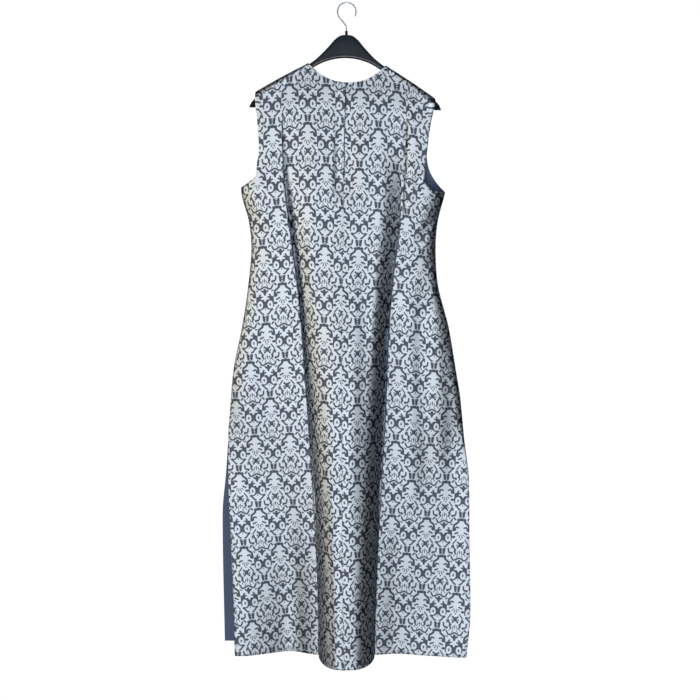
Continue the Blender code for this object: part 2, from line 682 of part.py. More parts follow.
def meshed(item, name, collection):
    """A curve as a mesh object with welded caps, in the curve's place."""
    depsgraph = bpy.context.evaluated_depsgraph_get()
    mesh = bpy.data.meshes.new_from_object(item.evaluated_get(depsgraph))
    shape = bmesh.new()
    shape.from_mesh(mesh)
    bmesh.ops.remove_doubles(shape, verts=shape.verts, dist=WELD)
    shape.to_mesh(mesh)
    shape.free()
    made = bpy.data.objects.new(name, mesh)
    made.matrix_world = item.matrix_world
    made.hide_render = True
    made.display_type = "WIRE"
    collection.objects.link(made)
    bpy.data.objects.remove(item)
    return made


def move(item, collection):
    """Puts an object in a collection of its own."""
    for holder in list(item.users_collection):
        holder.objects.unlink(item)
    collection.objects.link(item)


def arm_ring(x):
    """The ring of the hanger's section at x: a rounded top on a flatter underside."""
    reach = abs(x)
    top = along(ARM, "top", reach, "x")
    bottom = along(ARM, "bottom", reach, "x")
    half = along(ARM, "half", reach, "x")
    rise = min(ARM_RISE * half, ARM_RISE_LIMIT * (top - bottom))
    fall = top - bottom - rise
    turn = 2 * np.pi * (np.arange(ARM_RING) + 0.5) / ARM_RING
    y = half * np.cos(turn)
    z = np.where(np.sin(turn) > 0, rise * np.sin(turn),
                 -fall * np.abs(np.sin(turn)) ** ARM_SQUARE)
    return np.stack((np.full(ARM_RING, x), y, z + top - rise), axis=-1)


def hanger(collection):
    """The hanger's moulded arms, its collar and the wire hook, tilted together."""
    half = np.sort(np.concatenate((ARM["x"], ARM_EXTRA)))
    stations = np.concatenate((-half[:0:-1], half))
    rings = np.array([arm_ring(x) for x in stations])
    count = len(stations)
    index = np.arange(count * ARM_RING).reshape(count, ARM_RING)
    after = np.roll(index, -1, axis=1)
    sides = np.stack((index[:-1], index[1:], after[1:], after[:-1]), axis=-1).reshape(-1, 4)
    faces = sides.tolist() + [index[0].tolist(), index[-1][::-1].tolist()]
    mesh = bpy.data.meshes.new("hanger_arms")
    mesh.from_pydata((rings.reshape(-1, 3) * MM).tolist(), [], faces)
    arms = finish_mesh("hanger_arms", mesh, collection, "hanger_plastic")

    profile = [(COLLAR_RADIUS, COLLAR_TOP), (COLLAR_RADIUS, COLLAR_BOTTOM),
               (COLLAR_BORE, COLLAR_BOTTOM), (COLLAR_BORE, COLLAR_TOP)]
    mesh = bpy.data.meshes.new("hook_collar")
    points = [(px * MM, 0, pz * MM) for px, pz in profile]
    mesh.from_pydata(points, [(0, 1), (1, 2), (2, 3), (3, 0)], [])
    collar = bpy.data.objects.new("hook_collar", mesh)
    collection.objects.link(collar)
    collar.data.materials.append(material("hanger_plastic"))
    screw = collar.modifiers.new("turn", "SCREW")
    screw.steps = COLLAR_STEPS
    screw.render_steps = COLLAR_STEPS
    screw.use_merge_vertices = True
    screw.merge_threshold = WELD

    wire = curve_object("hanger_hook", [(hook_path(), False)], collection, dimensions="3D",
                        bevel_depth=HOOK_WIRE / 2 * MM, bevel_resolution=2, use_fill_caps=True)
    wire.data.materials.append(material("hook_steel"))
    pivot = bpy.data.objects.new("hanger_tilt", None)
    collection.objects.link(pivot)
    for item in (arms, collar, wire):
        item.parent = pivot
    pivot.rotation_euler = (0, math.radians(HANGER_TILT), 0)


def hook_path():
    """The middle of the hook's wire, from its tip over the top and down its stem."""
    centre = HOOK_WIRE / 2 - HOOK_RADIUS
    points = []
    for step in range(HOOK_STEPS + 1):
        share = step / HOOK_STEPS
        turn = math.radians(HOOK_TIP_ANGLE + (HOOK_LEAVE_ANGLE - HOOK_TIP_ANGLE) * share)
        points.append((HOOK_RADIUS * math.cos(turn), 0, centre + HOOK_RADIUS * math.sin(turn)))
    # a cubic curve from the end of the circle to the top of the straight stem
    leave = math.radians(HOOK_LEAVE_ANGLE)
    start = np.array([points[-1][0], points[-1][2]])
    heading = np.array([-math.sin(leave), math.cos(leave)])
    end = np.array([0.0, STEM_START])
    for step in range(1, STEM_STEPS + 1):
        t = step / STEM_STEPS
        first = (1 - t) ** 3 * start + 3 * (1 - t) ** 2 * t * (start + heading * STEM_PULL)
        second = 3 * (1 - t) * t ** 2 * (end + np.array([0.0, STEM_PULL])) + t ** 3 * end
        x, z = first + second
        points.append((x, 0, z))
    points.append((0, 0, STEM_END))
    return points


def main():
    for item in list(bpy.data.objects):
        bpy.data.objects.remove(item)
    robe = bpy.data.collections.new("damask_robe_on_hanger")
    cutters = bpy.data.collections.new("cutters")
    bpy.context.scene.collection.children.link(robe)
    bpy.context.scene.collection.children.link(cutters)
    grid = back_panels(robe)
    front_panels(robe)
    zip_tape(grid, robe)
    zip_slider(grid, robe, cutters)
    hanger(robe)


main()
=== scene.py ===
"""The looks of a sleeveless damask robe that hangs, back to the viewer, on a broad plastic hanger.

Sizes are in millimetres in the shape functions and become metres where they enter a mesh. The
frame is the CAD part's: the inner top of the hanger's hook is the origin, +Z is up, the robe's
back faces -Y, and +X is to the right of someone who looks at it.
"""

import math

import bmesh
import bpy
import numpy as np
from bpy.props import FloatProperty, FloatVectorProperty, IntProperty, PointerProperty
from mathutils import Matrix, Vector


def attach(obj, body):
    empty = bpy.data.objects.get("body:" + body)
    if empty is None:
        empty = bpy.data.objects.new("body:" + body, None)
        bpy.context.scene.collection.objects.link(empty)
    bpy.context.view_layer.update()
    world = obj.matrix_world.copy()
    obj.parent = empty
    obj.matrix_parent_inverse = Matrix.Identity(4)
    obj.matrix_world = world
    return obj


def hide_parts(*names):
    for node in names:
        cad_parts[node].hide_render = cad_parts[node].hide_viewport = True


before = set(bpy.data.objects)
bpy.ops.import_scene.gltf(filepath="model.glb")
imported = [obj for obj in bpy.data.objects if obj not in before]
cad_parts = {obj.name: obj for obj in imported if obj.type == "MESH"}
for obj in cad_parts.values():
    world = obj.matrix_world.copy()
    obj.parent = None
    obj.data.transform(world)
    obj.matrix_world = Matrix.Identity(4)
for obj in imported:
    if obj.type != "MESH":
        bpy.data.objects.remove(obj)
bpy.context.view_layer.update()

bl_info = {
    "name": "Damask Robe on a Hanger",
    "version": (1, 0, 0),
    "blender": (4, 5, 0),
    "location": "3D View > Sidebar > Robe",
    "description": "Builds the cloth, the zip, the stitching, the hanger and the stage of a robe",
    "category": "Object",
}

MM = 0.001

# The cut of the robe, as the CAD part has it
HEM = -1531.0
NECK_HALF = 89.0
NECK_MIDDLE = -3.0
# How far each neckline drops, and the power of its curve
BACK_NECK = (42.0, 2.3)
FRONT_NECK = (72.0, 2.1)
TIPS = (-209.5, 202.0)
SHOULDER_LIFT = 9.0
SHOULDER_BLEND = 90.0
SHOULDER_ROUND = 0.62
SEAT = 3.6
WALL = 1.6
ROOM = 7.8
SLIT = -930.0
UNDERARM = (-416.5, -427.0)
CREASE_START = 0.55
FLUTE_GROWTH = 0.8
TILT = math.radians(0.9)

# A panel's columns have places, from 0 at its left side. On the back the crease and the flute's
# crown have their own. The neckline ends NECK_PLACES from the middle, and NECK_COLUMNS says how
# far out each place lies, as a share of the neck's half width. A yoke is so many rows high.
CREASE_PLACE = 7
CROWN_PLACE = 16
BACK_COLUMNS = 32
FRONT_COLUMNS = 24
FRONT_CROWDING = 0.6
NECK_PLACES = 7
NECK_COLUMNS = (0.0, 0.2, 0.4, 0.6, 0.78, 0.91, 0.975, 1.0)
BACK_YOKE = 34
FRONT_YOKE = 26

# Where the cloth's relief dies out, in mm: from a sewn side, from the slit's top, and on the
# shoulders from so far below the ridge over so much
SIDE_EASE = 30.0
SLIT_EASE = 120.0
SHOULDER_EASE = (30.0, 70.0)

# The foot of the right crease swings to the right: how far, at which level and over which reach
FOOT_SWING = (16.0, -480.0, 130.0)
# The flute bulges beside each crease: how deep, how far in and how wide. It starts below a level
# and takes so much height to grow.
BULGE_L = (-1.5, 32.0, 13.0)
BULGE_R = (-2.5, 36.0, 18.0)
BULGE_START = (-430.0, 260.0)
# Where the yoke steps out between the creases: x, and over how much, on the left and the right
YOKE_STEP = (-108.0, 30.0, 112.0, 40.0)
# The stitched tuck: the foot and the top of its stretch, each with its ease, and its section as
# bells, each with a height, a place and a width
TUCK_SPAN = (-492.0, 24.0, -250.0, 20.0)
TUCK = ((3.4, 0.0, 1.7), (2.0, -4.0, 8.0), (-2.2, 14.0, 9.0))
STITCHES = (-266.0, -480.0)
HEM_TURN = 28.0

# The zip: its levels, the middle, half width and ease of the flat that it lies in, and the axis
# of its pull tab's hinge
ZIP_TOP = -182.0
ZIP_END = -402.0
ZIP_FLAT = (-6.0, 15.0, 14.0)
HINGE = (-2.702, -29.935, -213.843)


def table(columns, *rows):
    """Rows of numbers as a dictionary of named columns."""
    data = np.array(rows, dtype=float)
    return {name: data[:, place] for place, name in enumerate(columns.split())}


BACK = table(
    "level side_l side_r crease_l crease_r crown_x edge_l edge_r valley_l valley_r "
    "dip_l dip_r crown_y span free round",
    (-200, -248, 240, -148, 122, -4.5, 0, 0, -28, -28, -28, -28, -28, 62, 0, 2.0),
    (-330, -247, 235, -147, 118, -6.0, 0, 0, -30, -30, -30, -30, -31, 62, 0, 2.0),
    (-425, -245, 228, -142, 109, -7.0, 0, 0, -31, -31, -31, -31, -34, 62, 0, 1.9),
    (-490, -229, 212, -134, 107, -8.0, 0, 0, -30, -30, -30, -30, -37, 60, 0, 1.8),
    (-550, -223, 207, -127, 105, -9.0, 0, 0, -28, -28, -28, -28, -41, 60, 0, 1.7),
    (-640, -231, 213, -115, 102, -10.5, 0, 0, -26, -27, -27, -27, -50, 62, 0, 1.5),
    (-740, -247, 239, -106, 98, -11.5, 0, 0, -24, -27, -26, -27, -62, 70, 0, 1.35),
    (-840, -268, 257, -99, 94, -11.5, 0, 0, -22, -27, -26, -28, -75, 80, 0, 1.25),
    (-930, -277, 271, -93, 91, -11.5, 0, 0, -20, -27, -26, -28, -84, 90, 0, 1.2),
    (-1010, -283, 279, -88, 87, -11.5, -7, -7, -18, -27, -26, -29, -91, 110, 0.5, 1.12),
    (-1100, -283, 290, -82, 82, -11.5, -15, -17, -15, -28, -28, -31, -99, 130, 1, 1.0),
    (-1250, -278, 292, -74, 74, -11.0, -29, -32, -12, -29, -32, -34, -111, 150, 1, 0.88),
    (-1420, -272, 295, -68, 68, -9.0, -42, -47, -9, -31, -36, -37, -126, 160, 1, 0.76),
    (-1531, -270, 286, -68, 66, -5.5, -51, -58, -8, -33, -38, -39, -135, 165, 1, 0.7),
)
FRONT = table(
    "level side_l side_r edge_l edge_r plate span free",
    (-200, -248, 240, 0, 0, 28, 62, 0),
    (-330, -247, 235, 0, 0, 31, 62, 0),
    (-425, -245, 228, 0, 0, 33, 62, 0),
    (-490, -229, 212, 0, 0, 32, 60, 0),
    (-550, -223, 207, 0, 0, 31, 60, 0),
    (-640, -231, 213, 0, 0, 31, 62, 0),
    (-740, -247, 239, 0, 0, 32, 70, 0),
    (-840, -268, 257, 0, 0, 33, 80, 0),
    (-930, -277, 271, 0, 0, 34, 90, 0),
    (-1010, -284, 273, 9, 6, 35, 110, 0.5),
    (-1100, -292, 277, 19, 14, 36, 130, 1),
    (-1180, -301, 277, 26, 19, 37, 140, 1),
    (-1250, -303, 276, 32, 24, 38, 150, 1),
    (-1420, -304, 274, 46, 34, 40, 160, 1),
    (-1531, -304, 272, 55, 40, 41, 165, 1),
)
FRONT_FLUTES = table(
    "top_x hem_x top_half hem_half start rise",
    (-112, -172, 62, 74, -520, 27),
    (4, 0, 96, 84, -430, 50),
    (108, 166, 60, 70, -600, 23),
)
ARMHOLES = table(
    "level back_l back_r front_l front_r",
    (-190, -209.5, 202, -209.5, 202),
    (-216, -209, 202, -209, 202),
    (-245, -207, 197, -204, 197),
    (-272, -204, 191, -200, 191),
    (-300, -202, 187, -198, 188),
    (-330, -201.5, 184, -197, 186),
    (-360, -206, 180, -200, 188.5),
    (-382, -208, 178, -206, 195.5),
    (-392, -211, 177, -214, 201),
    (-404, -227, 179, -229, 209),
    (-412, -239, 184.5, -240, 215.5),
    (-417, -247, 190, -247, 219.5),
    (-421, -247, 196.5, -247, 223.5),
    (-424, -247, 205, -247, 226),
    (-427, -247, 228, -247, 228),
    (-500, -247, 228, -247, 228),
)
ROWS = table(
    "left right",
    (-300, -300), (-330, -332), (-360, -364), (-382, -391), (-396, -407), (-406, -417),
    (-412, -422.5), (-414.7, -425.2), (-416.5, -427), (-428, -437), (-460, -464),
    (-505, -507), (-550, -550), (-600, -600), (-660, -660),
    (-725, -725), (-790, -790), (-860, -860), (-930, -930), (-1000, -1000), (-1080, -1080),
    (-1170, -1170), (-1260, -1260), (-1350, -1350), (-1440, -1440), (HEM, HEM),
)
ARM = table(
    "x top bottom half",
    (0, -70.4, -122.5, 6.0),
    (14, -72.5, -123.3, 6.0),
    (27, -82.0, -125.3, 6.0),
    (38, -94.5, -128.0, 6.0),
    (50, -107.5, -131.9, 5.6),
    (66, -123.0, -139.5, 5.0),
    (90, -140.9, -154.5, 5.0),
    (120, -159.0, -171.5, 11.5),
    (150, -177.5, -193.5, 16.0),
    (180, -197.0, -216.0, 18.0),
    (200, -210.5, -233.0, 18.0),
    (210, -218.5, -236.5, 16.0),
    (216, -225.5, -236.5, 13.0),
    (219.5, -232.0, -236.0, 6.0),
)

# Folds, each a line from x, z to x2, z2, how far it bows, its half widths at its two
# ends and how deep it lies. A ridge has a negative depth.
BACK_FOLDS = table(
    "x z x2 z2 bow half half2 depth",
    (-238, -432, -168, -560, 8, 8, 16, 2.2),
    (-232, -462, -172, -604, 8, 11, 18, -1.8),
    (-214, -520, -150, -650, -6, 8, 14, 1.3),
    (-186, -545, -214, -1240, -8, 20, 30, 3.6),
    (-158, -600, -146, -1400, 6, 18, 32, -1.6),
    (-274, -960, -286, -1531, 2, 20, 30, 5.0),
    (-190, -1120, -178, -1531, -4, 20, 30, -1.5),
    (-122, -1230, -118, -1531, 3, 13, 20, 0.6),
    (-200, -336, -164, -430, 5, 9, 12, 1.4),
    (-178, -250, -170, -390, -4, 14, 14, -1.4),
    (-60, -430, -44, -900, 6, 14, 22, 1.3),
    (34, -470, 46, -1180, -5, 13, 24, 1.8),
    (14, -640, 10, -1480, 4, 16, 22, -1.4),
    (224, -440, 152, -548, -8, 8, 15, 2.4),
    (218, -470, 156, -596, -8, 10, 17, -1.9),
    (200, -530, 140, -640, 5, 8, 13, 1.2),
    (176, -560, 204, -1250, 8, 22, 32, 4.0),
    (142, -640, 150, -1400, -6, 18, 30, -3.0),
    (234, -760, 256, -1500, -5, 18, 28, 3.0),
    (196, -1100, 178, -1531, 4, 20, 30, -2.8),
    (116, -1230, 108, -1531, -3, 13, 20, 3.0),
    (186, -336, 150, -420, -5, 9, 12, 1.4),
    (168, -250, 160, -400, 4, 13, 13, -1.2),
)
FRONT_FOLDS = table(
    "x z x2 z2 bow half half2 depth",
    (-226, -440, -120, -600, 10, 9, 18, -2.4),
    (-214, -480, -130, -650, 8, 10, 18, 2.0),
    (-170, -560, -196, -1300, -8, 22, 34, -4.0),
    (-60, -430, -72, -1300, 6, 18, 32, -3.4),
    (-232, -860, -262, -1500, 5, 20, 30, 3.0),
    (58, -470, 76, -1350, -6, 18, 32, -3.6),
    (150, -560, 196, -1320, 8, 20, 30, -3.6),
    (214, -450, 116, -590, -9, 9, 17, -2.2),
    (206, -500, 120, -660, -7, 9, 16, 2.0),
    (228, -860, 240, -1500, -5, 18, 26, 2.6),
    (-20, -330, 30, -520, 6, 16, 22, -1.6),
    (-110, -330, -60, -440, 5, 12, 18, 1.6),
    (112, -330, 60, -450, -5, 12, 18, 1.6),
)

# The two long creases of the back: how deep the cloth falls in at each level, and how far the
# yoke between them steps out
CREASES = table(
    "level left right step",
    (-225, 0.0, 0.0, 0.0),
    (-290, 4.0, 0.0, 3.0),
    (-360, 7.5, 4.5, 5.0),
    (-430, 11.0, 10.5, 5.0),
    (-520, 15.0, 14.5, 4.0),
    (-640, 18.0, 15.5, 1.0),
    (-900, 18.0, 15.0, 0.0),
    (-1200, 15.5, 12.5, 0.0),
    (-1531, 12.0, 9.5, 0.0),
)
# The rims along the arch: how far out they run, how far above the arm's foot, and their radius
RIM_REACH = 118
RIM_LIFT = 4.2
RIM_RADIUS = 0.8
# The collar round the hook's stem, as radii and levels
COLLAR = np.array([(1.85, -62.3), (2.1, -62.0), (2.8, -62.0), (3.15, -62.5), (3.2, -64.0),
                   (2.75, -64.5), (2.75, -65.1), (3.2, -65.6), (3.2, -70.1), (1.85, -70.1)])
STITCHED = table("level x", (-255, 138.0), (-330, 136.5), (-400, 133.5), (-486, 131.0))

# The damask as a chart. Each figure stands on an axis, p is the distance from it and q the
# distance down from the tip of the plume, in units of a 1250th of the repeat. Neighbours stand
# half a repeat lower. STAR_LEVEL is the height on the cloth of one star, which is STAR units
# below the top of a chart that starts TIP units above the tip. Lines run from p, q to p2, q2, in
# groups of one half width. Spots are p, q and two radii, and rings have a half width after these.
# The figure's shortest lines are the round dots on its axis.
SPACING = 0.042
REPEAT = 0.180
UNITS = 1250
TIP = 50
STAR = 460
STAR_LEVEL = -0.337
GROUND_LINES = {
    16.0: (
        (52, -14, 58, 26), (58, 30, 84, 52), (84, 52, 120, 78), (120, 78, 128, 118),
        (38, 1106, 26, 1188), (0, 884, 0, 948), (36, 850, 14, 888), (22, 956, 56, 984),
        (118, 818, 136, 856),
    ),
    12.0: (
        (46, 122, 80, 110), (80, 110, 104, 136), (54, 202, 100, 224), (56, 984, 108, 996),
        (118, 1000, 90, 1022), (90, 1022, 54, 1066), (118, 426, 98, 462), (98, 462, 76, 496),
        (112, 420, 148, 440), (16, 390, 46, 364), (20, 430, 44, 460), (8, 630, 40, 648),
        (40, 648, 70, 664), (70, 664, 104, 668), (102, 1102, 106, 1150), (106, 1150, 126, 1174),
        (126, 1174, 146, 1166), (146, -62, 104, -14), (50, 692, 12, 722), (12, 722, 0, 758),
        (76, 754, 90, 776), (48, 792, 100, 796), (112, 818, 146, 802), (62, 846, 36, 850),
        (104, 668, 130, 620), (136, 860, 130, 932),
    ),
    9.0: (
        (70, 322, 122, 394), (90, 500, 72, 532), (94, 524, 62, 560), (146, 596, 124, 620),
        (118, 700, 146, 690), (28, 966, 0, 958), (128, 455, 138, 463),
    ),
    5.0: (
        (0, 500, 0, 566), (26, 520, 44, 574), (12, 244, 18, 270), (34, 236, 58, 260),
        (0, 985, 0, 1006), (70, 560, 96, 600), (30, 590, 52, 628),
    ),
}
GROUND_SPOTS = (
    (120, 150, 36, 31), (120, 280, 32, 19), (0, 405, 30, 35), (52, 418, 10, 14),
    (42, 366, 15, 14), (76, 496, 18, 17), (136, 552, 24, 20), (0, 529, 10, 12), (0, 696, 24, 36),
    (104, 816, 36, 30), (80, 920, 12, 21), (40, 1070, 18, 12), (48, -10, 28, 25),
    (0, -18, 36, 25), (23, 283, 10, 10), (0, 314, 11, 10), (0, 1148, 28, 50),
)
GROUND_RINGS = ((82, 922, 57, 73, 9.0),)
FIGURE_RINGS = ((82, 922, 36, 51, 11.5),)
FIGURE_LINES = {
    13.0: ((98, 966, 150, 976),),
    11.0: ((0, 1112, 0, 1114), (0, 1147, 0, 1149), (0, 1182, 0, 1184)),
}

# How far the pattern hangs lower than its chart, in mm, at places across each half of the back
# and down it: the grain tilts in the side panels.
GRAIN = {
    -1: ((-340, -260, -210, -168, -126, -84, -42, 0), (
        (-265, (12, 9, 5, 2.6, -2, -5.4, -1, 1)),
        (-450, (15, 12, 8.6, 4.3, 0, -1.7, -1.5, 6.5)),
        (-620, (12, 9, 6.5, 1.2, -2.5, 0.5, 5.4, 6)),
        (-1400, (4, 0, -4.5, -8, -7, -6, -5, -4)))),
    1: ((0, 36, 79, 120, 163, 205, 260, 340), (
        (-250, (0, 0, 0, 6, 16, 24, 30, 34)),
        (-430, (0, 1, 4, 8, 19, 26, 32, 36)),
        (-700, (0, 0, 2, 4, 10, 16, 20, 22)),
        (-1400, (0, 0, 0, 0, 4, 8, 12, 16)))),
}

# The stage. The camera is the one that the photograph's perspective gives: metres and degrees.
FLOOR_RADIUS = 750.0
LENS = 61.56
EYE = (0.00704, -2.8, -0.4211)
LOOK_DOWN = 7.613
# The sky's colour, and its strength as a light and as a background
SKY = (0.96, 0.98, 1.0, 1.0)
SKY_STRENGTH = (0.014, 1.05)
DAYLIGHT = (0.93, 0.97, 1.0)
SKYLIGHT = (0.95, 0.98, 1.0)
# Each light's name, place, aim, width, height, power and colour
LAMPS = (
    ("key", (-0.3, -4.7, -1.15), (0.0, 0.0, -0.95), 1.0, 3.2, 121.0, DAYLIGHT),
    ("right", (2.0, -4.2, -1.0), (0.1, 0.0, -0.9), 0.9, 2.6, 16.0, DAYLIGHT),
    ("warm", (-3.0, -1.2, -0.6), (0.0, 0.0, -0.8), 1.3, 1.3, 40.0, (1.0, 0.89, 0.72)),
    ("behind", (1.2, 3.3, -0.3), (0.0, 0.0, -0.9), 2.0, 2.0, 100.0, SKYLIGHT),
    ("top", (-0.2, -2.0, 2.4), (0.0, 0.0, -0.2), 1.4, 1.4, 38.0, SKYLIGHT),
)


def slopes(x, y):
    """Slopes at the points of a curve that never swings past them."""
    step = np.diff(y) / np.diff(x)
    slope = np.concatenate(([step[0]], (step[1:] + step[:-1]) / 2, [step[-1]]))
    limit = 3 * np.minimum(np.abs(step[1:]), np.abs(step[:-1]))
    inner = np.sign(step[1:]) * np.minimum(np.abs(slope[1:-1]), limit)
    slope[1:-1] = np.where(step[1:] * step[:-1] > 0, inner, 0.0)
    return slope


def along(columns, name, level, key="level"):
    """A column's value at any level: a cubic between each two rows that meets their slopes."""
    x = columns[key]
    y = columns[name]
    if x[0] > x[-1]:
        x = x[::-1]
        y = y[::-1]
    slope = slopes(x, y)
    at = np.clip(level, x[0], x[-1])
    cell = np.clip(np.searchsorted(x, at) - 1, 0, len(x) - 2)
    width = x[cell + 1] - x[cell]
    t = (at - x[cell]) / width
    start = y[cell] * (1 + 2 * t) * (1 - t) ** 2 + slope[cell] * width * t * (1 - t) ** 2
    end = y[cell + 1] * t ** 2 * (3 - 2 * t) - slope[cell + 1] * width * t ** 2 * (1 - t)
    return start + end


def smooth(t):
    """An even S: three t squared less two t cubed, between 0 and 1."""
    t = np.clip(t, 0.0, 1.0)
    return t * t * (3 - 2 * t)


def quarter(t):
    """A quarter of an ellipse: the root of 1 less (1 - t) squared."""
    return np.sqrt(1 - (1 - np.clip(t, 0.0, 1.0)) ** 2)


def bell(t):
    """A bell: e to the power of minus t squared."""
    return np.exp(-t ** 2)


def squared(t, power):
    """A sine or cosine to a power with its sign kept, which fills out a circle's corners."""
    return np.sign(t) * np.abs(t) ** power


def circle(count, start=0.0):
    """The angles of points evenly round a circle, the first a share of a step from zero."""
    return 2 * np.pi * (np.arange(count) + start) / count


def between(t, low, low_ease, high, high_ease):
    """1 between low and high and 0 outside them, with an even S inside each."""
    return smooth((t - low) / low_ease) * smooth((high - t) / high_ease)


def either(left, chart, name, level):
    """A chart's value at a level: that of its left column where left is true, else the right."""
    return np.where(left, along(chart, name + "_l", level), along(chart, name + "_r", level))


def arm_top(x):
    """The height of the hanger's top at x, turned with the hanger's tilt."""
    straight = x * math.cos(TILT) - along(ARM, "top", np.abs(x), "x") * math.sin(TILT)
    return along(ARM, "top", np.abs(straight), "x") * math.cos(TILT) - straight * math.sin(TILT)


def ridge(x):
    """The height of the cloth on the shoulders: the hanger's top plus the seat's slant height."""
    place = np.sign(x) * np.maximum(np.abs(x), NECK_HALF)
    slope = (arm_top(place + 1) - arm_top(place - 1)) / 2
    reach = np.clip((place + NECK_HALF) / (TIPS[0] + NECK_HALF), 0.0, 1.0)
    return arm_top(place) + SEAT * np.sqrt(1 + slope ** 2) + SHOULDER_LIFT * reach


def over_shoulder(x, z, depth):
    """A panel's depth bent over the hanger: a quarter of an ellipse down from the ridge."""
    below = ridge(x) - z
    half = along(ARM, "half", np.maximum(np.abs(x), NECK_HALF), "x") + ROOM
    shoulder = np.sign(depth) * half
    body = shoulder + (depth - shoulder) * smooth(below / SHOULDER_BLEND)
    return body * quarter(below / (SHOULDER_ROUND * half + WALL))


def side_round(distance, span, free):
    """From 0 at the side to 1 a span in: a quarter ellipse where sewn, an S where free."""
    t = distance / span
    return quarter(t) * (1 - free) + smooth(t) * free


def folds(chart, x, z):
    """Soft folds: each is its depth times a bell across its bowed line, faded at its ends, but
    not where it runs out at the hem."""
    total = np.zeros_like(x)
    for x1, z1, x2, z2, bow, half, half2, depth in zip(*chart.values()):
        run, drop = x2 - x1, z2 - z1
        length = math.hypot(run, drop)
        part = ((x - x1) * run + (z - z1) * drop) / length ** 2
        inside = np.clip(part, 0.0, 1.0)
        across = ((x - x1) * drop - (z - z1) * run) / length - bow * 4 * inside * (1 - inside)
        width = half + (half2 - half) * inside
        end = 1.1 if z2 > HEM else np.inf
        total += depth * bell(across / width) * between(part, -0.1, 0.3, end, 0.3)
    return total


def fall(across, depth):
    """A crease's section: a proud edge before 0, then a steep drop to a sharp foot, from which it
    climbs back slowly."""
    edge = -0.16 * depth * bell(across / 15.0)
    near = np.exp(-np.abs(across - 2.8) / 9.5)
    inner = depth * (0.68 * near + 0.32 * bell(across / 24.0))
    return edge + (inner - edge) * smooth((across + 1.6) / 4.4)


def back_depth(x, z):
    """y of the back: side panels that round off, and a hump between the two creases."""
    crown_x = along(BACK, "crown_x", z)
    left = x < crown_x
    side, crease, edge, valley, dip = (
        either(left, BACK, name, z) for name in ("side", "crease", "edge", "valley", "dip"))
    distance = np.maximum(np.where(left, x - side, side - x), 0.0)
    to_crease = distance / np.abs(crease - side)
    turn = side_round(distance, along(BACK, "span", z), along(BACK, "free", z))
    rise = smooth((to_crease - CREASE_START) / (1 - CREASE_START))
    panel = edge + (valley - edge) * turn + (dip - valley) * rise
    across = np.clip((x - crown_x) / (crease - crown_x), 0.0, 1.0)
    hump = (1 - across ** 2) ** (along(BACK, "round", z) / 2)
    flute = dip + (along(BACK, "crown_y", z) - dip) * hump
    return over_shoulder(x, z, np.where(to_crease < 1, panel, flute) + back_relief(x, z, distance))


def relief_room(x, z, distance):
    """The share of a relief that stays: it fades towards a sewn side and on the shoulders."""
    sewn = 1 - smooth((SLIT - z) / SLIT_EASE)
    side = smooth(distance / SIDE_EASE) * sewn + 1 - sewn
    return side * smooth((ridge(x) - z - SHOULDER_EASE[0]) / SHOULDER_EASE[1])


def back_relief(x, z, distance):
    """The back's creases and folds, faded out at the shoulders, the sewn sides and the zip. The
    yoke between the creases steps out, the stitched line is a tuck between two soft ridges, and
    the flute's two corners bulge more towards the hem."""
    crease_l, crease_r = along(BACK, "crease_l", z), along(BACK, "crease_r", z)
    swing, level, reach = FOOT_SWING
    left = fall(x - crease_l, along(CREASES, "left", z))
    right = fall(crease_r + swing * bell((z - level) / reach) - x, along(CREASES, "right", z))
    step = -along(CREASES, "step", z) * between(x, *YOKE_STEP)
    line = x - along(STITCHED, "x", z)
    tuck = between(z, *TUCK_SPAN) * sum(
        height * bell((line - place) / width) for height, place, width in TUCK)
    corners = smooth((BULGE_START[0] - z) / BULGE_START[1]) * (
        BULGE_L[0] * bell((x - crease_l - BULGE_L[1]) / BULGE_L[2])
        + BULGE_R[0] * bell((crease_r - x - BULGE_R[1]) / BULGE_R[2]))
    middle, half, ease = ZIP_FLAT
    near_zip = 1 - smooth((np.abs(x - middle) - half) / ease)
    zip_part = near_zip * smooth((z - ZIP_END + 50.0) / 40.0)
    relief = left + right + step + tuck + folds(BACK_FOLDS, x, z) + corners
    return relief * relief_room(x, z, distance) * (1 - zip_part)


def front_depth(x, z):
    """y of the front: rounded sides, a flat plate and three cosine humps that grow downwards."""
    left = x < (along(FRONT, "side_l", z) + along(FRONT, "side_r", z)) / 2
    side = either(left, FRONT, "side", z)
    edge = either(left, FRONT, "edge", z)
    distance = np.maximum(np.where(left, x - side, side - x), 0.0)
    turn = side_round(distance, along(FRONT, "span", z), along(FRONT, "free", z))
    depth = edge + (along(FRONT, "plate", z) - edge) * turn
    for top_x, hem_x, top_half, hem_half, start, rise in zip(*FRONT_FLUTES.values()):
        part = np.clip((start - z) / (start - HEM), 0.0, 1.0)
        place = top_x * (1 - part) + hem_x * part
        half = top_half * (1 - part) + hem_half * part
        hump = np.cos(np.clip((x - place) / half, -1, 1) * math.pi / 2) ** 2
        depth = depth + rise * part ** FLUTE_GROWTH * hump
    relief = folds(FRONT_FOLDS, x, z) * relief_room(x, z, distance)
    return over_shoulder(x, z, depth + relief)


def neck_line(x, drop, power):
    """The height of a neckline at x: its corners' height, less a drop that dies out sideways."""
    left = ridge(-NECK_HALF)
    corner = left + (ridge(NECK_HALF) - left) * (x / NECK_HALF + 1) / 2
    return corner - drop + drop * np.clip(np.abs(x) / NECK_HALF, 0.0, 1.0) ** power


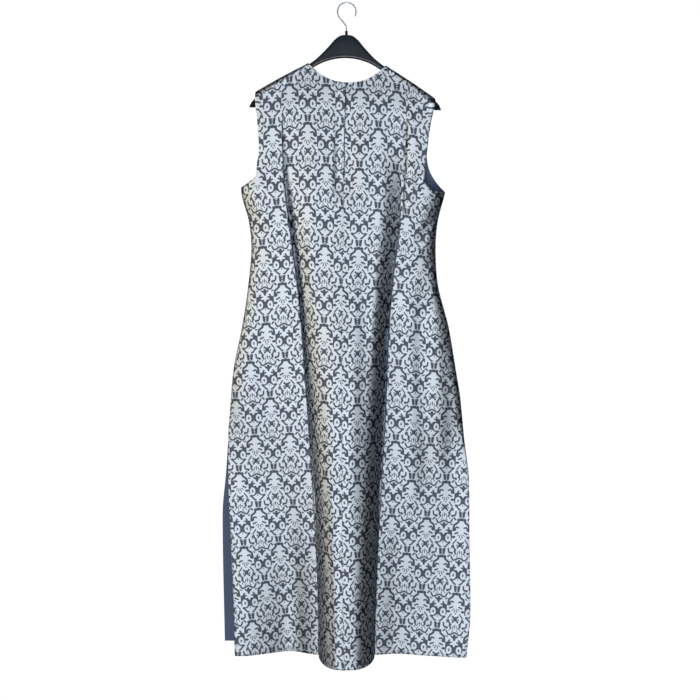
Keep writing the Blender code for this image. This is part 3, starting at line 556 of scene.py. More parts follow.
def side_limits(levels, chart, holes):
    """x of a panel's two sides at pairs of levels: the armhole's above the underarm."""
    left = along(chart, "side_l", levels[:, :1])
    right = along(chart, "side_r", levels[:, 1:])
    hole_left = np.maximum(left, along(ARMHOLES, holes + "_l", levels[:, :1]))
    hole_right = np.minimum(right, along(ARMHOLES, holes + "_r", levels[:, 1:]))
    return (np.where(levels[:, :1] <= UNDERARM[0], left, hole_left),
            np.where(levels[:, 1:] <= UNDERARM[1], right, hole_right))


def back_row(place, levels):
    """x of the back at column places: a power from the side in to the crease, then the cosine of
    the quarter turn from the crease to the crown, and the same mirrored."""
    middle = levels.mean(axis=1, keepdims=True)
    crown = along(BACK, "crown_x", middle)
    near = np.minimum(place, BACK_COLUMNS - place)
    share = np.clip(near / CREASE_PLACE, 0, 1) ** 1.6
    turn = np.cos(np.radians(np.clip(near - CREASE_PLACE, 0, 9) * 10))
    is_left = place <= CROWN_PLACE
    side = np.where(is_left, *side_limits(levels, BACK, "back"))
    crease = either(is_left, BACK, "crease", middle)
    return np.where(near < CREASE_PLACE, side + (crease - side) * share,
                    crown + (crease - crown) * turn)


def front_row(place, levels):
    """x of the front at column places: even steps mixed with a cosine's crowded ones."""
    left, right = side_limits(levels, FRONT, "front")
    even = place / FRONT_COLUMNS
    crowded = (1 - np.cos(math.pi * even)) / 2
    return left + (right - left) * (even * (1 - FRONT_CROWDING) + crowded * FRONT_CROWDING)


def levels_between(spacing):
    """Pairs of levels from the yoke's foot to the hem, even between each two given rows and
    close together at the hem, for its rolled edge."""
    pairs = np.stack((ROWS["left"], ROWS["right"]), axis=1)
    last = len(pairs) - 1
    counts = np.maximum(np.ceil(np.abs(np.diff(pairs[:, 0])) / spacing), 1).astype(int)
    steps = np.concatenate([k + np.arange(n) / n for k, n in enumerate(counts)]
                           + [[last - 0.02, last - 0.008, last]])
    return np.stack([np.interp(steps, np.arange(last + 1), pairs[:, k]) for k in (0, 1)], 1)


def panel_points(row, depth, holes, neck, place, spacing, yoke_steps):
    """The points of a panel, rows by columns by x, y, z. Above the first level the rows run from
    the shoulders and the neckline down to it, and their columns slide from even to the panel's."""
    levels = levels_between(spacing)
    low = row(place, levels[:1])[0]
    middle = CROWN_PLACE if row is back_row else FRONT_COLUMNS // 2
    ends = np.array([0, middle - NECK_PLACES, middle + NECK_PLACES, middle * 2])
    marks = row(ends, levels[:1])[0]
    x_top = np.interp(low, marks, [TIPS[0], -NECK_HALF, NECK_HALF, TIPS[1]])
    columns = {"level": np.arange(NECK_PLACES + 1.0), "away": np.array(NECK_COLUMNS)}
    away = along(columns, "away", np.abs(place - middle))
    inside = np.abs(place - middle) < NECK_PLACES
    x_neck = np.sign(place - middle) * NECK_HALF * away + NECK_MIDDLE * (1 - away)
    x_top = np.where(inside, x_neck, x_top)
    z_top = np.where(np.abs(x_top) < NECK_HALF, neck_line(x_top, *neck), ridge(x_top))
    share = (low - low[0]) / (low[-1] - low[0])
    top_share = (x_top - TIPS[0]) / (TIPS[1] - TIPS[0])
    part = (np.linspace(0, 1, yoke_steps, endpoint=False) ** 1.7)[:, None]
    z_yoke = z_top + (levels[0, 0] - z_top) * part
    across = top_share + (share - top_share) * smooth(part)
    left = along(ARMHOLES, holes + "_l", z_yoke)
    x_yoke = left + (along(ARMHOLES, holes + "_r", z_yoke) - left) * across
    x = np.concatenate((x_yoke, row(place, levels)))
    z = np.concatenate((z_yoke, levels[:, :1] + (levels[:, 1:] - levels[:, :1]) * share))
    return np.stack((x, depth(x, z), z), axis=-1)


def normals(grid, side):
    """Unit normals of a grid: the cross product of its two directions, turned to the given side
    and evened out twice with its four neighbours."""
    normal = np.cross(np.gradient(grid, axis=0), np.gradient(grid, axis=1))
    normal *= np.sign(np.mean(normal @ np.array(side)))
    length = np.linalg.norm(normal, axis=-1, keepdims=True)
    normal /= np.maximum(length, 1e-9)
    for _ in range(2):
        wide = np.pad(normal, ((1, 1), (1, 1), (0, 0)), mode="edge")
        normal = normal * 2 + (wide[:-2, 1:-1] + wide[2:, 1:-1] + wide[1:-1, :-2] + wide[1:-1, 2:])
        normal /= np.linalg.norm(normal, axis=-1, keepdims=True)
    return normal


def cloth_map(grid, middle, foot):
    """Places on the flat cloth: the width run along each row from the middle column, and the
    height. Above row foot the width is the one that row foot has at the same x, and the height
    is run up along each column, so that the pattern goes over the shoulder unstretched."""
    step = np.hypot(np.diff(grid[..., 0], axis=1), np.diff(grid[..., 1], axis=1))
    run = np.concatenate((np.zeros((len(grid), 1)), np.cumsum(step, axis=1)), axis=1)
    run -= run[:, middle:middle + 1]
    run[:foot] = np.interp(grid[:foot, :, 0], grid[foot, :, 0], run[foot])
    drop = np.diff(grid[..., 2], axis=0)
    spare = np.hypot(drop, np.diff(grid[..., 1], axis=0)) - np.abs(drop)
    height = grid[..., 2].copy()
    height[:foot] += np.cumsum(spare[:foot][::-1], axis=0)[::-1]
    return np.stack((run, height), axis=-1)


def grain(places, side):
    """Moves the pattern's height by the grain's chart: straight between its columns, and an even
    S between its levels."""
    across, rows = GRAIN[side]
    width, height = places[..., 0], places[..., 1]
    levels = np.array([level for level, _ in rows], float)
    at_level = np.stack([np.interp(width, across, values) for _, values in rows])
    step = np.interp(-height, -levels, np.arange(len(levels)))
    first = np.minimum(step.astype(int), len(levels) - 2)
    part = smooth(step - first)
    low = np.take_along_axis(at_level, first[None], 0)[0]
    high = np.take_along_axis(at_level, first[None] + 1, 0)[0]
    return np.stack((width, height + low + (high - low) * part), -1)


def new_object(name, points, faces, finishes, smooth_angle=40.0):
    """A mesh object of points in millimetres and faces, with its finishes in slots."""
    mesh = bpy.data.meshes.new(name)
    mesh.from_pydata((np.asarray(points) * MM).tolist(), [], faces)
    for finish in finishes:
        mesh.materials.append(finish)
    mesh.shade_smooth()
    mesh.set_sharp_from_angle(angle=math.radians(smooth_angle))
    item = bpy.data.objects.new(name, mesh)
    bpy.context.scene.collection.objects.link(item)
    return item


def cloth_shell(name, outer, inner, places, finishes, turned=None):
    """Closes two grids of one panel into a thin shell with a rim. places are its points on the
    flat cloth, for the pattern. The inner face has the second finish, except where turned is
    true, which is where the cloth is turned in."""
    rows, columns = outer.shape[:2]
    count = rows * columns
    index = np.arange(count).reshape(rows, columns)
    cell = np.stack((index[:-1, :-1], index[1:, :-1], index[1:, 1:], index[:-1, 1:]), -1)
    cell = cell.reshape(-1, 4)
    rim = np.concatenate((index[:, 0], index[-1, 1:], index[-2::-1, -1], index[0, -2:0:-1]))
    after = np.roll(rim, -1)
    edge = np.stack((after, rim, rim + count, after + count), 1)
    faces = np.concatenate((cell, cell[:, ::-1] + count, edge))
    first = outer[0, 0]
    direction = np.cross(outer[1, 0] - first, outer[0, 1] - first)
    if direction @ (inner[0, 0] - first) > 0:
        faces = faces[:, ::-1]
    points = np.concatenate((outer.reshape(-1, 3), inner.reshape(-1, 3)))
    item = new_object(name, points, faces.tolist(), finishes, 55.0)
    mesh = item.data
    flat = np.tile(places.reshape(-1, 2) * MM, (2, 1))
    corners = np.empty(len(mesh.loops), np.int32)
    mesh.loops.foreach_get("vertex_index", corners)
    layer = mesh.uv_layers.new(name="cloth")
    layer.data.foreach_set("uv", flat[corners].astype(np.float32).ravel())
    if len(finishes) > 1:
        kind = np.zeros(len(faces), np.int32)
        inside = np.ones((rows - 1, columns - 1), np.int32)
        if turned is not None:
            inside[turned[:-1, :-1]] = 0
        kind[len(cell):2 * len(cell)] = inside.ravel()
        mesh.polygons.foreach_set("material_index", kind)
    mesh.update()
    return item


def swept(path, radius, ring):
    """A tube: a circle of the path's radius carried along it on two directions square to it."""
    path = np.asarray(path, float)
    heading = np.gradient(path, axis=0)
    heading /= np.linalg.norm(heading, axis=1, keepdims=True)
    across = np.cross(heading, (0.0, 1.0, 0.0))
    across /= np.linalg.norm(across, axis=1, keepdims=True)
    up = np.cross(across, heading)
    turn = circle(ring)[None, :, None]
    size = np.broadcast_to(np.asarray(radius, float), (len(path),))[:, None, None]
    around = (np.cos(turn) * across[:, None] + np.sin(turn) * up[:, None]) * size
    return (path[:, None] + around).reshape(-1, 3), tube_faces(len(path), ring)


def tube_faces(count, ring, caps=True):
    """Quads between the rings of a tube, and a cap at each end."""
    index = np.arange(count * ring).reshape(count, ring)
    after = np.roll(index, -1, axis=1)
    sides = np.stack((index[:-1], index[1:], after[1:], after[:-1]), -1).reshape(-1, 4)
    ends = [index[0].tolist(), index[-1][::-1].tolist()] if caps else []
    return sides.tolist() + ends


def ring_faces(loops, count):
    """Quads between loops of points that go round a section and close on the first."""
    index = np.arange(loops * count).reshape(loops, count)
    after = np.roll(index, -1, axis=1)
    quads = (index, after, np.roll(after, -1, axis=0), np.roll(index, -1, axis=0))
    return np.stack(quads, -1).reshape(-1, 4).tolist()


def repeated(faces, each, count):
    """The faces of count like shapes that have a number of points each."""
    return [[point + k * each for point in face] for k in range(count) for face in faces]


def outward(item, doubles=0.0):
    """Merges points that lie nearer than doubles, and turns a closed mesh's faces outwards, by
    the sign of its volume."""
    shape = bmesh.new()
    shape.from_mesh(item.data)
    if doubles:
        bmesh.ops.remove_doubles(shape, verts=shape.verts, dist=doubles)
    bmesh.ops.recalc_face_normals(shape, faces=shape.faces)
    if shape.calc_volume(signed=True) < 0:
        bmesh.ops.reverse_faces(shape, faces=shape.faces)
    shape.to_mesh(item.data)
    shape.free()
    item.data.update()


def tilted(points):
    """Points turned with the hanger's tilt about the hook."""
    x, y, z = np.moveaxis(np.asarray(points, float), -1, 0)
    cosine, sine = math.cos(TILT), math.sin(TILT)
    return np.stack((x * cosine + z * sine, y, z * cosine - x * sine), axis=-1)


class Wire:
    """A socket's value in a finish. Arithmetic on it adds Math nodes, or Vector Math nodes."""

    def __init__(self, finish, socket):
        self.finish = finish
        self.socket = socket

    def maths(self, operation, *values, clamp=False):
        return self.finish.maths(operation, self, *values, clamp=clamp)

    def __add__(self, other):
        return self.maths("ADD", other)

    __radd__ = __add__

    def __sub__(self, other):
        return self.maths("SUBTRACT", other)

    def __rsub__(self, other):
        return self.finish.maths("SUBTRACT", other, self)

    def __mul__(self, other):
        return self.maths("MULTIPLY", other)

    __rmul__ = __mul__

    def __truediv__(self, other):
        return self.maths("DIVIDE", other)

    def __mod__(self, other):
        return self.maths("FLOORED_MODULO", other)

    def __abs__(self):
        return self.maths("ABSOLUTE")


class Finish:
    """A material's node tree and the ways to add to it."""

    def __init__(self, name, **constants):
        self.material = bpy.data.materials.new(name)
        self.material.use_nodes = True
        self.tree = self.material.node_tree
        self.shader = self.tree.nodes["Principled BSDF"]
        self.set(**constants)

    def plug(self, socket, value):
        """Links or sets an input."""
        if isinstance(value, Wire):
            self.tree.links.new(value.socket, socket)
        elif hasattr(value, "__len__") and len(value) == 3 and socket.type == "RGBA":
            socket.default_value = (*value, 1.0)
        else:
            socket.default_value = value

    def node(self, kind, settings=None, inputs=None, output=0):
        """Adds a shader node: its settings first, then the values or links of its sockets."""
        made = self.tree.nodes.new("ShaderNode" + kind)
        for key, value in (settings or {}).items():
            setattr(made, key, value)
        for key, value in (inputs or {}).items():
            self.plug(made.inputs[key], value)
        return Wire(self, made.outputs[output])

    def maths(self, operation, *values, clamp=False):
        """A Math node, or a Vector Math node where the first wire is a vector."""
        wire = next(value for value in values if isinstance(value, Wire))
        if wire.socket.type == "VECTOR":
            single = operation in ("DISTANCE", "DOT_PRODUCT", "LENGTH")
            return self.node("VectorMath", {"operation": operation},
                             dict(enumerate(values)), 1 if single else 0)
        return self.node("Math", {"operation": operation, "use_clamp": clamp},
                         dict(enumerate(values)))

    def scaled(self, vector, size):
        """A vector times a number."""
        return self.node("VectorMath", {"operation": "SCALE"},
                         {0: vector, "Scale": size})

    def mix(self, part, first, second):
        """A colour part of the way from first to second."""
        return self.node("Mix", {"data_type": "RGBA"},
                         {0: part, 6: first, 7: second}, 2)

    def ramp(self, value, low, high, start=0.0, end=1.0):
        """A smooth step of a value between low and high."""
        return self.node("MapRange", {"interpolation_type": "SMOOTHSTEP"},
                         {"Value": value, "From Min": low, "From Max": high,
                          "To Min": start, "To Max": end})

    def noise(self, place, scale, detail=2.0):
        """Perlin noise from 0 to 1."""
        return self.node("TexNoise", {},
                         {"Vector": place, "Scale": scale, "Detail": detail})

    def streaks(self, place, scales, detail=1.0):
        """Perlin noise with a scale for each axis."""
        return self.noise(self.node("Mapping", {}, {0: place, 3: scales}), 1.0, detail)

    def wave(self, place, pitch):
        """A sine along a place, once for each pitch."""
        return (place * (2 * math.pi / pitch)).maths("SINE")

    def bump(self, height, distance, strength):
        """Relief on the shader's normal."""
        wire = self.node("Bump", {},
                         {"Height": height, "Distance": distance, "Strength": strength})
        self.plug(self.shader.inputs["Normal"], wire)

    def place(self):
        """Object coordinates."""
        return self.node("TexCoord", {}, {}, 3)

    def cloth(self):
        """The place on the flat cloth, in metres."""
        return self.node("UVMap", {"uv_map": "cloth"})

    def parts(self, vector):
        """x, y and z of a vector."""
        first = self.node("SeparateXYZ", {}, {0: vector})
        return [Wire(self, first.socket.node.outputs[k]) for k in range(3)]

    def set(self, **sockets):
        """Links or sets the shader's own sockets."""
        for key, value in sockets.items():
            name = key.replace("_", " ").title().replace("Ior", "IOR")
            self.plug(self.shader.inputs[name], value)


def damask_figure(finish, u, v):
    """1 on the damask's figure and 0 on its ground, at a place on the cloth in metres. The place
    is folded to one figure, and the chart's shapes are joined as distances to their outlines:
    the least of the ground's, cut by the least of the figure's own."""
    column = (u / SPACING + 0.5).maths("FLOOR")
    p = abs(u - column * SPACING) * (UNITS / REPEAT)
    q = STAR - (v - STAR_LEVEL) * (UNITS / REPEAT) + (column % 2) * (UNITS / 2)
    q = q % UNITS - TIP
    spot = finish.node("CombineXYZ", {}, {0: p, 1: q})

    def least(values):
        values = iter(values)
        result = next(values)
        for value in values:
            result = result.maths("MINIMUM", value)
        return result

    def line(p1, q1, p2, q2):
        run = (p2 - p1, q2 - q1, 0.0)
        size = run[0] ** 2 + run[1] ** 2
        before = (p1 * run[0] + q1 * run[1]) / size
        part = spot.maths("DOT_PRODUCT", (run[0] / size, run[1] / size, 0.0))
        part = part.maths("SUBTRACT", before, clamp=True)
        near = finish.node("VectorMath", {"operation": "MULTIPLY_ADD"},
                           {0: run, 1: part, 2: (p1, q1, 0.0)})
        return spot.maths("DISTANCE", near)

    def oval(p1, q1, wide, high):
        reach = spot.maths("MULTIPLY_ADD", (1 / wide, 1 / high, 0.0), (-p1 / wide, -q1 / high, 0.0))
        return (reach.maths("LENGTH") - 1) * min(wide, high)

    def ring(p1, q1, wide, high, half):
        return abs(oval(p1, q1, wide, high)) - half

    def shapes(lines, spots, rings):
        for half, group in lines.items():
            yield least(line(*ends) for ends in group) - half
        yield from (oval(*values) for values in spots)
        yield from (ring(*values) for values in rings)

    ground = least(shapes(GROUND_LINES, GROUND_SPOTS, GROUND_RINGS))
    figure = least(shapes(FIGURE_LINES, (), FIGURE_RINGS))
    return finish.ramp(ground.maths("MAXIMUM", 0 - figure), -2.5, 5.5)


def brocade(name, shift=(0.0, 0.0)):
    """Silver satin figure on a near-black twill ground."""
    looks = bpy.context.scene.robe_looks
    finish = Finish(name, metallic=0.95, specular_tint=(0.04, 0.05, 0.07))
    flat = finish.cloth()
    u, v, _ = finish.parts(flat)
    figure = damask_figure(finish, u + shift[0], v + shift[1])
    cloud = finish.noise(flat, 16.0, 3.0)
    slub = finish.streaks(flat, (900.0, 90.0, 1.0))
    shade = cloud * 0.16 + slub * 0.16 + 0.84
    light = finish.scaled(finish.mix(cloud, tuple(looks.figure_colour),
                                     tuple(looks.figure_warm)), shade)
    dark = finish.scaled(tuple(looks.ground_colour), shade)
    finish.set(base_color=finish.mix(figure, dark, light),
               roughness=finish.ramp(figure, 0.0, 1.0, 0.38, 0.42))
    twill = finish.wave(u + v * 0.35, 0.0011)
    weft = finish.wave(v, 0.0009)
    finish.bump(twill * 0.5 + weft * 0.35 + slub, 0.0002, 0.5)
    return finish.material


def lining_cloth(name):
    """Plain slate-blue lining with a fine slub."""
    looks = bpy.context.scene.robe_looks
    finish = Finish(name, sheen_weight=0.2, sheen_roughness=0.35)
    flat = finish.cloth()
    u, v, _ = finish.parts(flat)
    cloud = finish.noise(flat, 14.0, 3.0)
    slub = finish.streaks(flat, (120.0, 1100.0, 1.0))
    colour = finish.mix(cloud, tuple(looks.lining_colour), tuple(looks.lining_dark))
    finish.set(base_color=finish.scaled(colour, slub * 0.4 + 0.8), roughness=slub * 0.15 + 0.4)
    weave = finish.wave(u, 0.0008) + finish.wave(v, 0.0008)
    finish.bump(weave * 0.4 + slub, 0.00015, 0.4)
    return finish.material


def thread_finish(name, colour):
    """Twisted sewing thread."""
    finish = Finish(name, sheen_weight=0.3)
    place = finish.place()
    tone = finish.noise(place, 300.0)
    finish.set(base_color=finish.scaled(colour, tone * 0.5 + 0.75), roughness=tone * 0.2 + 0.45)
    finish.bump(finish.wave(finish.parts(place)[2], 0.0006), 0.0001, 0.6)
    return finish.material


def tape_finish(name):
    """Matt black woven tape: a herringbone of short ribs."""
    finish = Finish(name, sheen_weight=0.2)
    place = finish.place()
    x, _, z = finish.parts(place)
    rib = finish.wave(abs(x % 0.004 - 0.002) + z, 0.0012)
    tone = finish.noise(place, 220.0)
    finish.set(base_color=finish.scaled((0.035, 0.038, 0.048), tone * 0.6 + rib * 0.12 + 0.7),
               roughness=tone * 0.2 + 0.68)
    finish.bump(rib, 0.0002, 0.7)
    return finish.material


def enamel(name):
    """Dark enamel on metal, worn to the metal in small places."""
    finish = Finish(name)
    place = finish.place()
    wear = finish.ramp(finish.noise(place, 420.0, 4.0), 0.62, 0.72)
    grime = finish.noise(place, 90.0)
    finish.set(base_color=finish.mix(wear, (0.022, 0.025, 0.035), (0.32, 0.33, 0.35)),
               metallic=wear * 0.5 + 0.4, roughness=grime * 0.25 + 0.25)
    finish.bump(wear * -0.6 + grime * 0.3, 0.0001, 0.5)
    return finish.material


def moulded_plastic(name, colour, rough=0.3):
    """Moulded plastic: a soft shine, flow marks and faint scratches."""
    finish = Finish(name, specular_ior_level=0.17)
    place = finish.place()
    flow = finish.streaks(place, (12.0, 60.0, 60.0), 3.0)
    scratch = finish.streaks(place, (60.0, 900.0, 500.0), 2.0)
    finish.set(base_color=finish.scaled(colour, flow * 0.5 + 0.75),
               roughness=flow * 0.16 + scratch * 0.14 + rough)
    finish.bump(scratch + flow * 0.8, 0.0002, 0.25)
    return finish.material


def bright_wire(name):
    """Plated steel wire with drawing marks along it."""
    finish = Finish(name, metallic=1.0)
    place = finish.place()
    marks = finish.streaks(place, (700.0, 700.0, 90.0), 2.0)
    cloud = finish.noise(place, 60.0)
    finish.set(base_color=finish.mix(cloud, (0.50, 0.51, 0.53), (0.36, 0.38, 0.41)),
               roughness=marks * 0.15 + 0.3)
    finish.bump(marks, 0.00004, 0.2)
    return finish.material


def floor_finish(name):
    """A pale matt floor with a barely mottled tone."""
    finish = Finish(name)
    cloud = finish.noise(finish.place(), 3.0, 3.0)
    finish.set(base_color=finish.mix(cloud, (0.78, 0.79, 0.80), (0.82, 0.82, 0.83)),
               roughness=cloud * 0.1 + 0.7)
    return finish.material


def length_setting(name, description, default, low, high):
    """A length in metres that a user may change."""
    return FloatProperty(name=name, description=description, default=default, min=low, max=high,
                         unit="LENGTH", subtype="DISTANCE")


def colour_setting(name, description, default):
    """A colour that a user may change."""
    return FloatVectorProperty(name=name, description=description, default=default, size=3,
                               subtype="COLOR")


class RobeSizes(bpy.types.PropertyGroup):
    """Sizes that a user would change."""

    cloth: length_setting("Cloth", "Thickness of the brocade shell", 0.0012, 0.0004, 0.003)
    lining: length_setting("Lining", "Thickness of the lining shell", 0.0008, 0.0003, 0.002)
    row: length_setting("Row", "Height of a row of the cloth's mesh", 0.0048, 0.003, 0.03)
    stitch: length_setting("Stitch", "Length of a stitch and its gap", 0.0042, 0.002, 0.01)
    tooth: length_setting("Tooth", "Height of one tooth of the zip", 0.0014, 0.0008, 0.004)
    floor: length_setting("Floor", "Height of the floor, from the hook", -2.0, -10.0, -1.6)
    ring: IntProperty(name="Ring", description="Points round the hanger's section", default=32,
                      min=12, max=64)


class RobeLooks(bpy.types.PropertyGroup):
    """Colours that a user would change."""

    figure_colour: colour_setting("Figure", "Satin figure of the damask", (0.66, 0.71, 0.78))
    figure_warm: colour_setting("Figure, worn", "Satin where it is dulled", (0.58, 0.62, 0.67))
    ground_colour: colour_setting("Ground", "Ground of the damask", (0.070, 0.083, 0.108))
    lining_colour: colour_setting("Lining", "Lining cloth", (0.060, 0.095, 0.19))
    lining_dark: colour_setting("Lining, shaded", "Lining in its slubs", (0.045, 0.066, 0.13))
    plastic: colour_setting("Hanger", "Moulded plastic", (0.004, 0.010, 0.018))
    plastic_rim: colour_setting("Hanger rim", "Lighter rim of the arch", (0.28, 0.24, 0.26))


class ROBE_OT_back(bpy.types.Operator):
    """Builds the two halves of the back, which meet at the middle seam"""
    bl_idname = "robe.back"
    bl_label = "Back"

    def execute(self, context):
        sizes = context.scene.robe_sizes
        side = CREASE_PLACE * (1 - (1 - np.linspace(0, 1, 62)) ** 1.7)
        flute = CREASE_PLACE + 8.9 * np.linspace(0, 1, 60)[1:]
        half_places = np.concatenate((side, flute, [15.95, 15.985, CROWN_PLACE]))
        place = np.concatenate((half_places, BACK_COLUMNS - half_places[-2::-1]))
        grid = panel_points(back_row, back_depth, "back", BACK_NECK, place,
                            sizes.row / MM, BACK_YOKE)
        middle = len(half_places) - 1
        join_edges(grid, -0.05)
        flat = cloth_map(grid, middle, BACK_YOKE)
        lining = lining_cloth("lining_of_back")
        for name, part, sign, shift in (("robe_back_left", slice(None, middle + 1), -1, (0, 0)),
                                        ("robe_back_right", slice(middle, None), 1,
                                         (0.006, 0.008))):
            half = grid[:, part].copy()
            seam, outside = (-1, 0) if sign < 0 else (0, -1)
            places = grain(flat[:, part], sign)
            # The halves sink into the seam, which opens over the zip
            gap = 0.03 + 0.52 * smooth((half[:, seam, 2] - ZIP_END) / 8.0)
            half[..., 1] += 0.75 * bell((half[..., 0] - half[:, [seam], 0]) / 1.2)
            half[:, seam, 0] += sign * gap
            roll_edge(half, outside, sign)
            normal = normals(half, (0, -1, 0))
            normal[:, seam, 0] = 0.0
            normal[:, seam] /= np.linalg.norm(normal[:, seam], axis=-1, keepdims=True)
            inner = half - normal * (sizes.cloth / MM)
            item = cloth_shell(name, half, inner, places, [brocade("damask_" + name, shift), lining],
                               half[..., 2] < HEM + HEM_TURN)
            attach(item, "robe")
            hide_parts(name.replace("robe_", ""))
        return {"FINISHED"}


def join_edges(grid, offset):
    """Brings a panel's sewn edges, on the shoulders and below the armholes, to the seam."""
    shoulder = np.abs(grid[0, :, 0]) >= NECK_HALF - 1e-6
    grid[0, shoulder, 1] = offset
    for column, limit in ((0, UNDERARM[0]), (-1, UNDERARM[1])):
        z = grid[:, column, 2]
        sewn = (z <= limit + 0.01) & (z >= SLIT - 0.01)
        grid[sewn, column, 1] = offset


def roll_edge(half, outside, sign):
    """Turns the free edges of a panel in, by a bell of 0.9 mm that is about 2.4 mm wide."""
    x, y, z = np.moveaxis(half, -1, 0)
    away = np.abs(x - x[:, outside][:, None])
    limit = UNDERARM[0] if sign < 0 else UNDERARM[1]
    free = (z[:, outside] > limit + 0.5) | (z[:, outside] < SLIT - 4)
    free[0] = False
    inward = -np.sign(np.mean(y))
    neck = np.abs(half[0, :, 0]) < NECK_HALF - 3
    edges = 0.9 * bell(away / 1.6) * free[:, None] + 0.9 * bell((z - z[0]) / 1.8) * neck
    half[..., 1] += inward * (edges + 0.8 * bell((z - HEM) / 1.4))


class ROBE_OT_front(bpy.types.Operator):
    """Builds the front and the lining inside it"""
    bl_idname = "robe.front"
    bl_label = "Front"

    def execute(self, context):
        sizes = context.scene.robe_sizes
        even = np.linspace(0, 1, 151)
        place = FRONT_COLUMNS * (even - 0.075 * np.sin(2 * np.pi * even))
        outer = panel_points(front_row, front_depth, "front", FRONT_NECK, place,
                             sizes.row * 1.7 / MM, FRONT_YOKE)
        join_edges(outer, 0.05)
        places = cloth_map(outer, len(place) // 2, FRONT_YOKE)
        normal = normals(outer, (0, 1, 0))
        cloth = sizes.cloth / MM
        item = cloth_shell("robe_front", outer, outer - normal * cloth, places,
                           [brocade("damask_robe_front"), lining_cloth("lining_of_front")])
        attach(item, "robe")
        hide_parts("front")
        face = outer - normal * (cloth + 0.3)
        lining = cloth_shell("robe_front_lining", face, face - normal * (sizes.lining / MM),
                             places, [lining_cloth("lining_inside_front")])
        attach(lining, "robe")
        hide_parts("front_lining")
        return {"FINISHED"}


class ROBE_OT_zip(bpy.types.Operator):
    """Builds the zip's teeth and its pull tab, and finishes the tape and the slider"""
    bl_idname = "robe.zip"
    bl_label = "Zip"

    def execute(self, context):
        # Each tooth is a blunt ball behind the seam, a little to one side or the other
        pitch = context.scene.robe_sizes.tooth / MM
        level = np.arange(ZIP_TOP, ZIP_END, -pitch)
        x = along(BACK, "crown_x", level) + np.where(np.arange(len(level)) % 2, 0.16, -0.16)
        centre = np.stack((x, back_depth(x, level) + 1.15, level), -1)
        steps, ring = 5, 8
        tall = np.linspace(0, np.pi, steps)[:, None]
        turn = circle(ring)
        wide = np.sin(tall) ** 0.6
        ball = np.stack((np.cos(turn) * wide * 0.42, np.sin(turn) * wide * 0.45,
                         np.repeat(np.cos(tall), ring, 1) * pitch * 0.47), -1)
        points = (centre[:, None, None] + ball).reshape(-1, 3)
        faces = repeated(tube_faces(steps, ring, False), steps * ring, len(level))
        teeth = new_object("zip_teeth", points, faces, [enamel("zip_teeth_enamel")])
        outward(teeth, 0.00002)
        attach(teeth, "robe")

        finish = enamel("zip_enamel")
        for node, looks in (("zip_tape", tape_finish("zip_tape_weave")), ("zip_slider", finish)):
            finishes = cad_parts[node].data.materials
            finishes.clear()
            finishes.append(looks)

        tab = new_object("zip_tab", *tab_shape(), [finish], 30.0)
        outward(tab)
        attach(tab, "pull_tab")
        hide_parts("zip_pull_tab")
        return {"FINISHED"}


def tab_shape():
    """The pull tab: loops round its outline and its hole, carried over a rounded section. The
    outline widens from the bar at its top to a round end, as a half width over its length."""
    turn = circle(72, 0.5)
    sine, cosine = np.sin(turn), np.cos(turn)
    size, top, hole_z = 22.0, 0.5, -2.15
    middle = top - size / 2
    outer_z = middle + size / 2 * squared(cosine, 0.6)
    drop = np.clip((top - outer_z) / size, 0, 1)
    outer_x = (1.9 + 0.4 * smooth((drop - 0.5) / 0.4)) * squared(sine, 0.35)

    def loop(inward, y):
        x = outer_x - inward * np.sign(outer_x) * np.minimum(np.abs(outer_x), 1)
        z = outer_z - inward * (outer_z - middle) / (size / 2)
        return np.stack((x, np.full(len(turn), y), z), -1)

    def hole(wider, y):
        return np.stack((1.1 * squared(sine, 0.6) * (1 + wider), np.full(len(turn), y),
                         hole_z + 1.65 * squared(cosine, 0.7) * (1 + wider * 0.6)), -1)

    loops = [hole(0.0, -0.25), hole(0.16, -0.45), loop(0.32, -0.45), loop(0.08, -0.34),
             loop(0.0, -0.12), loop(0.0, 0.12), loop(0.08, 0.34), loop(0.32, 0.45),
             hole(0.16, 0.45), hole(0.0, 0.25)]
    lean = math.atan2(*tab_slope())
    x, y, z = np.concatenate(loops).T
    turned = np.stack((x, y * math.cos(lean) - z * math.sin(lean),
                       y * math.sin(lean) + z * math.cos(lean)), -1)
    return turned + np.array(HINGE), ring_faces(len(loops), len(turn))


def tab_slope():
    """How the back slopes at the slider: its rise in y over 20 mm of height."""
    z = HINGE[2]
    x = along(BACK, "crown_x", z)
    above, below = back_depth(np.array([x, x]), np.array([z + 10.0, z - 10.0]))
    return -(above - below), 20.0


class ROBE_OT_stitches(bpy.types.Operator):
    """Builds the stitches that hold the upper stretch of the right crease"""
    bl_idname = "robe.stitches"
    bl_label = "Stitches"

    def execute(self, context):
        # Each stitch is a thread that rises in a low arch beside the tuck
        pitch = context.scene.robe_sizes.stitch / MM
        level = np.arange(*STITCHES, -pitch)
        steps, ring = 6, 6
        part = np.linspace(-1, 1, steps)
        z = level[:, None] + 0.36 * pitch * part
        x = along(STITCHED, "x", z) - 2.6
        y = back_depth(x, z) - 0.34 * (1 - part ** 2) + 0.08
        turn = circle(ring)
        thick = 0.26 * np.sqrt(np.clip(1.02 - part ** 2, 0.04, 1))[:, None]
        shape = np.stack((np.cos(turn) * thick, np.sin(turn) * thick, np.zeros((steps, ring))), -1)
        points = (np.stack((x, y, z), -1)[:, :, None] + shape).reshape(-1, 3)
        faces = repeated(tube_faces(steps, ring), steps * ring, len(level))
        item = new_object("fold_stitches", points, faces,
                          [thread_finish("thread", (0.1, 0.11, 0.13))])
        outward(item)
        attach(item, "robe")
        return {"FINISHED"}


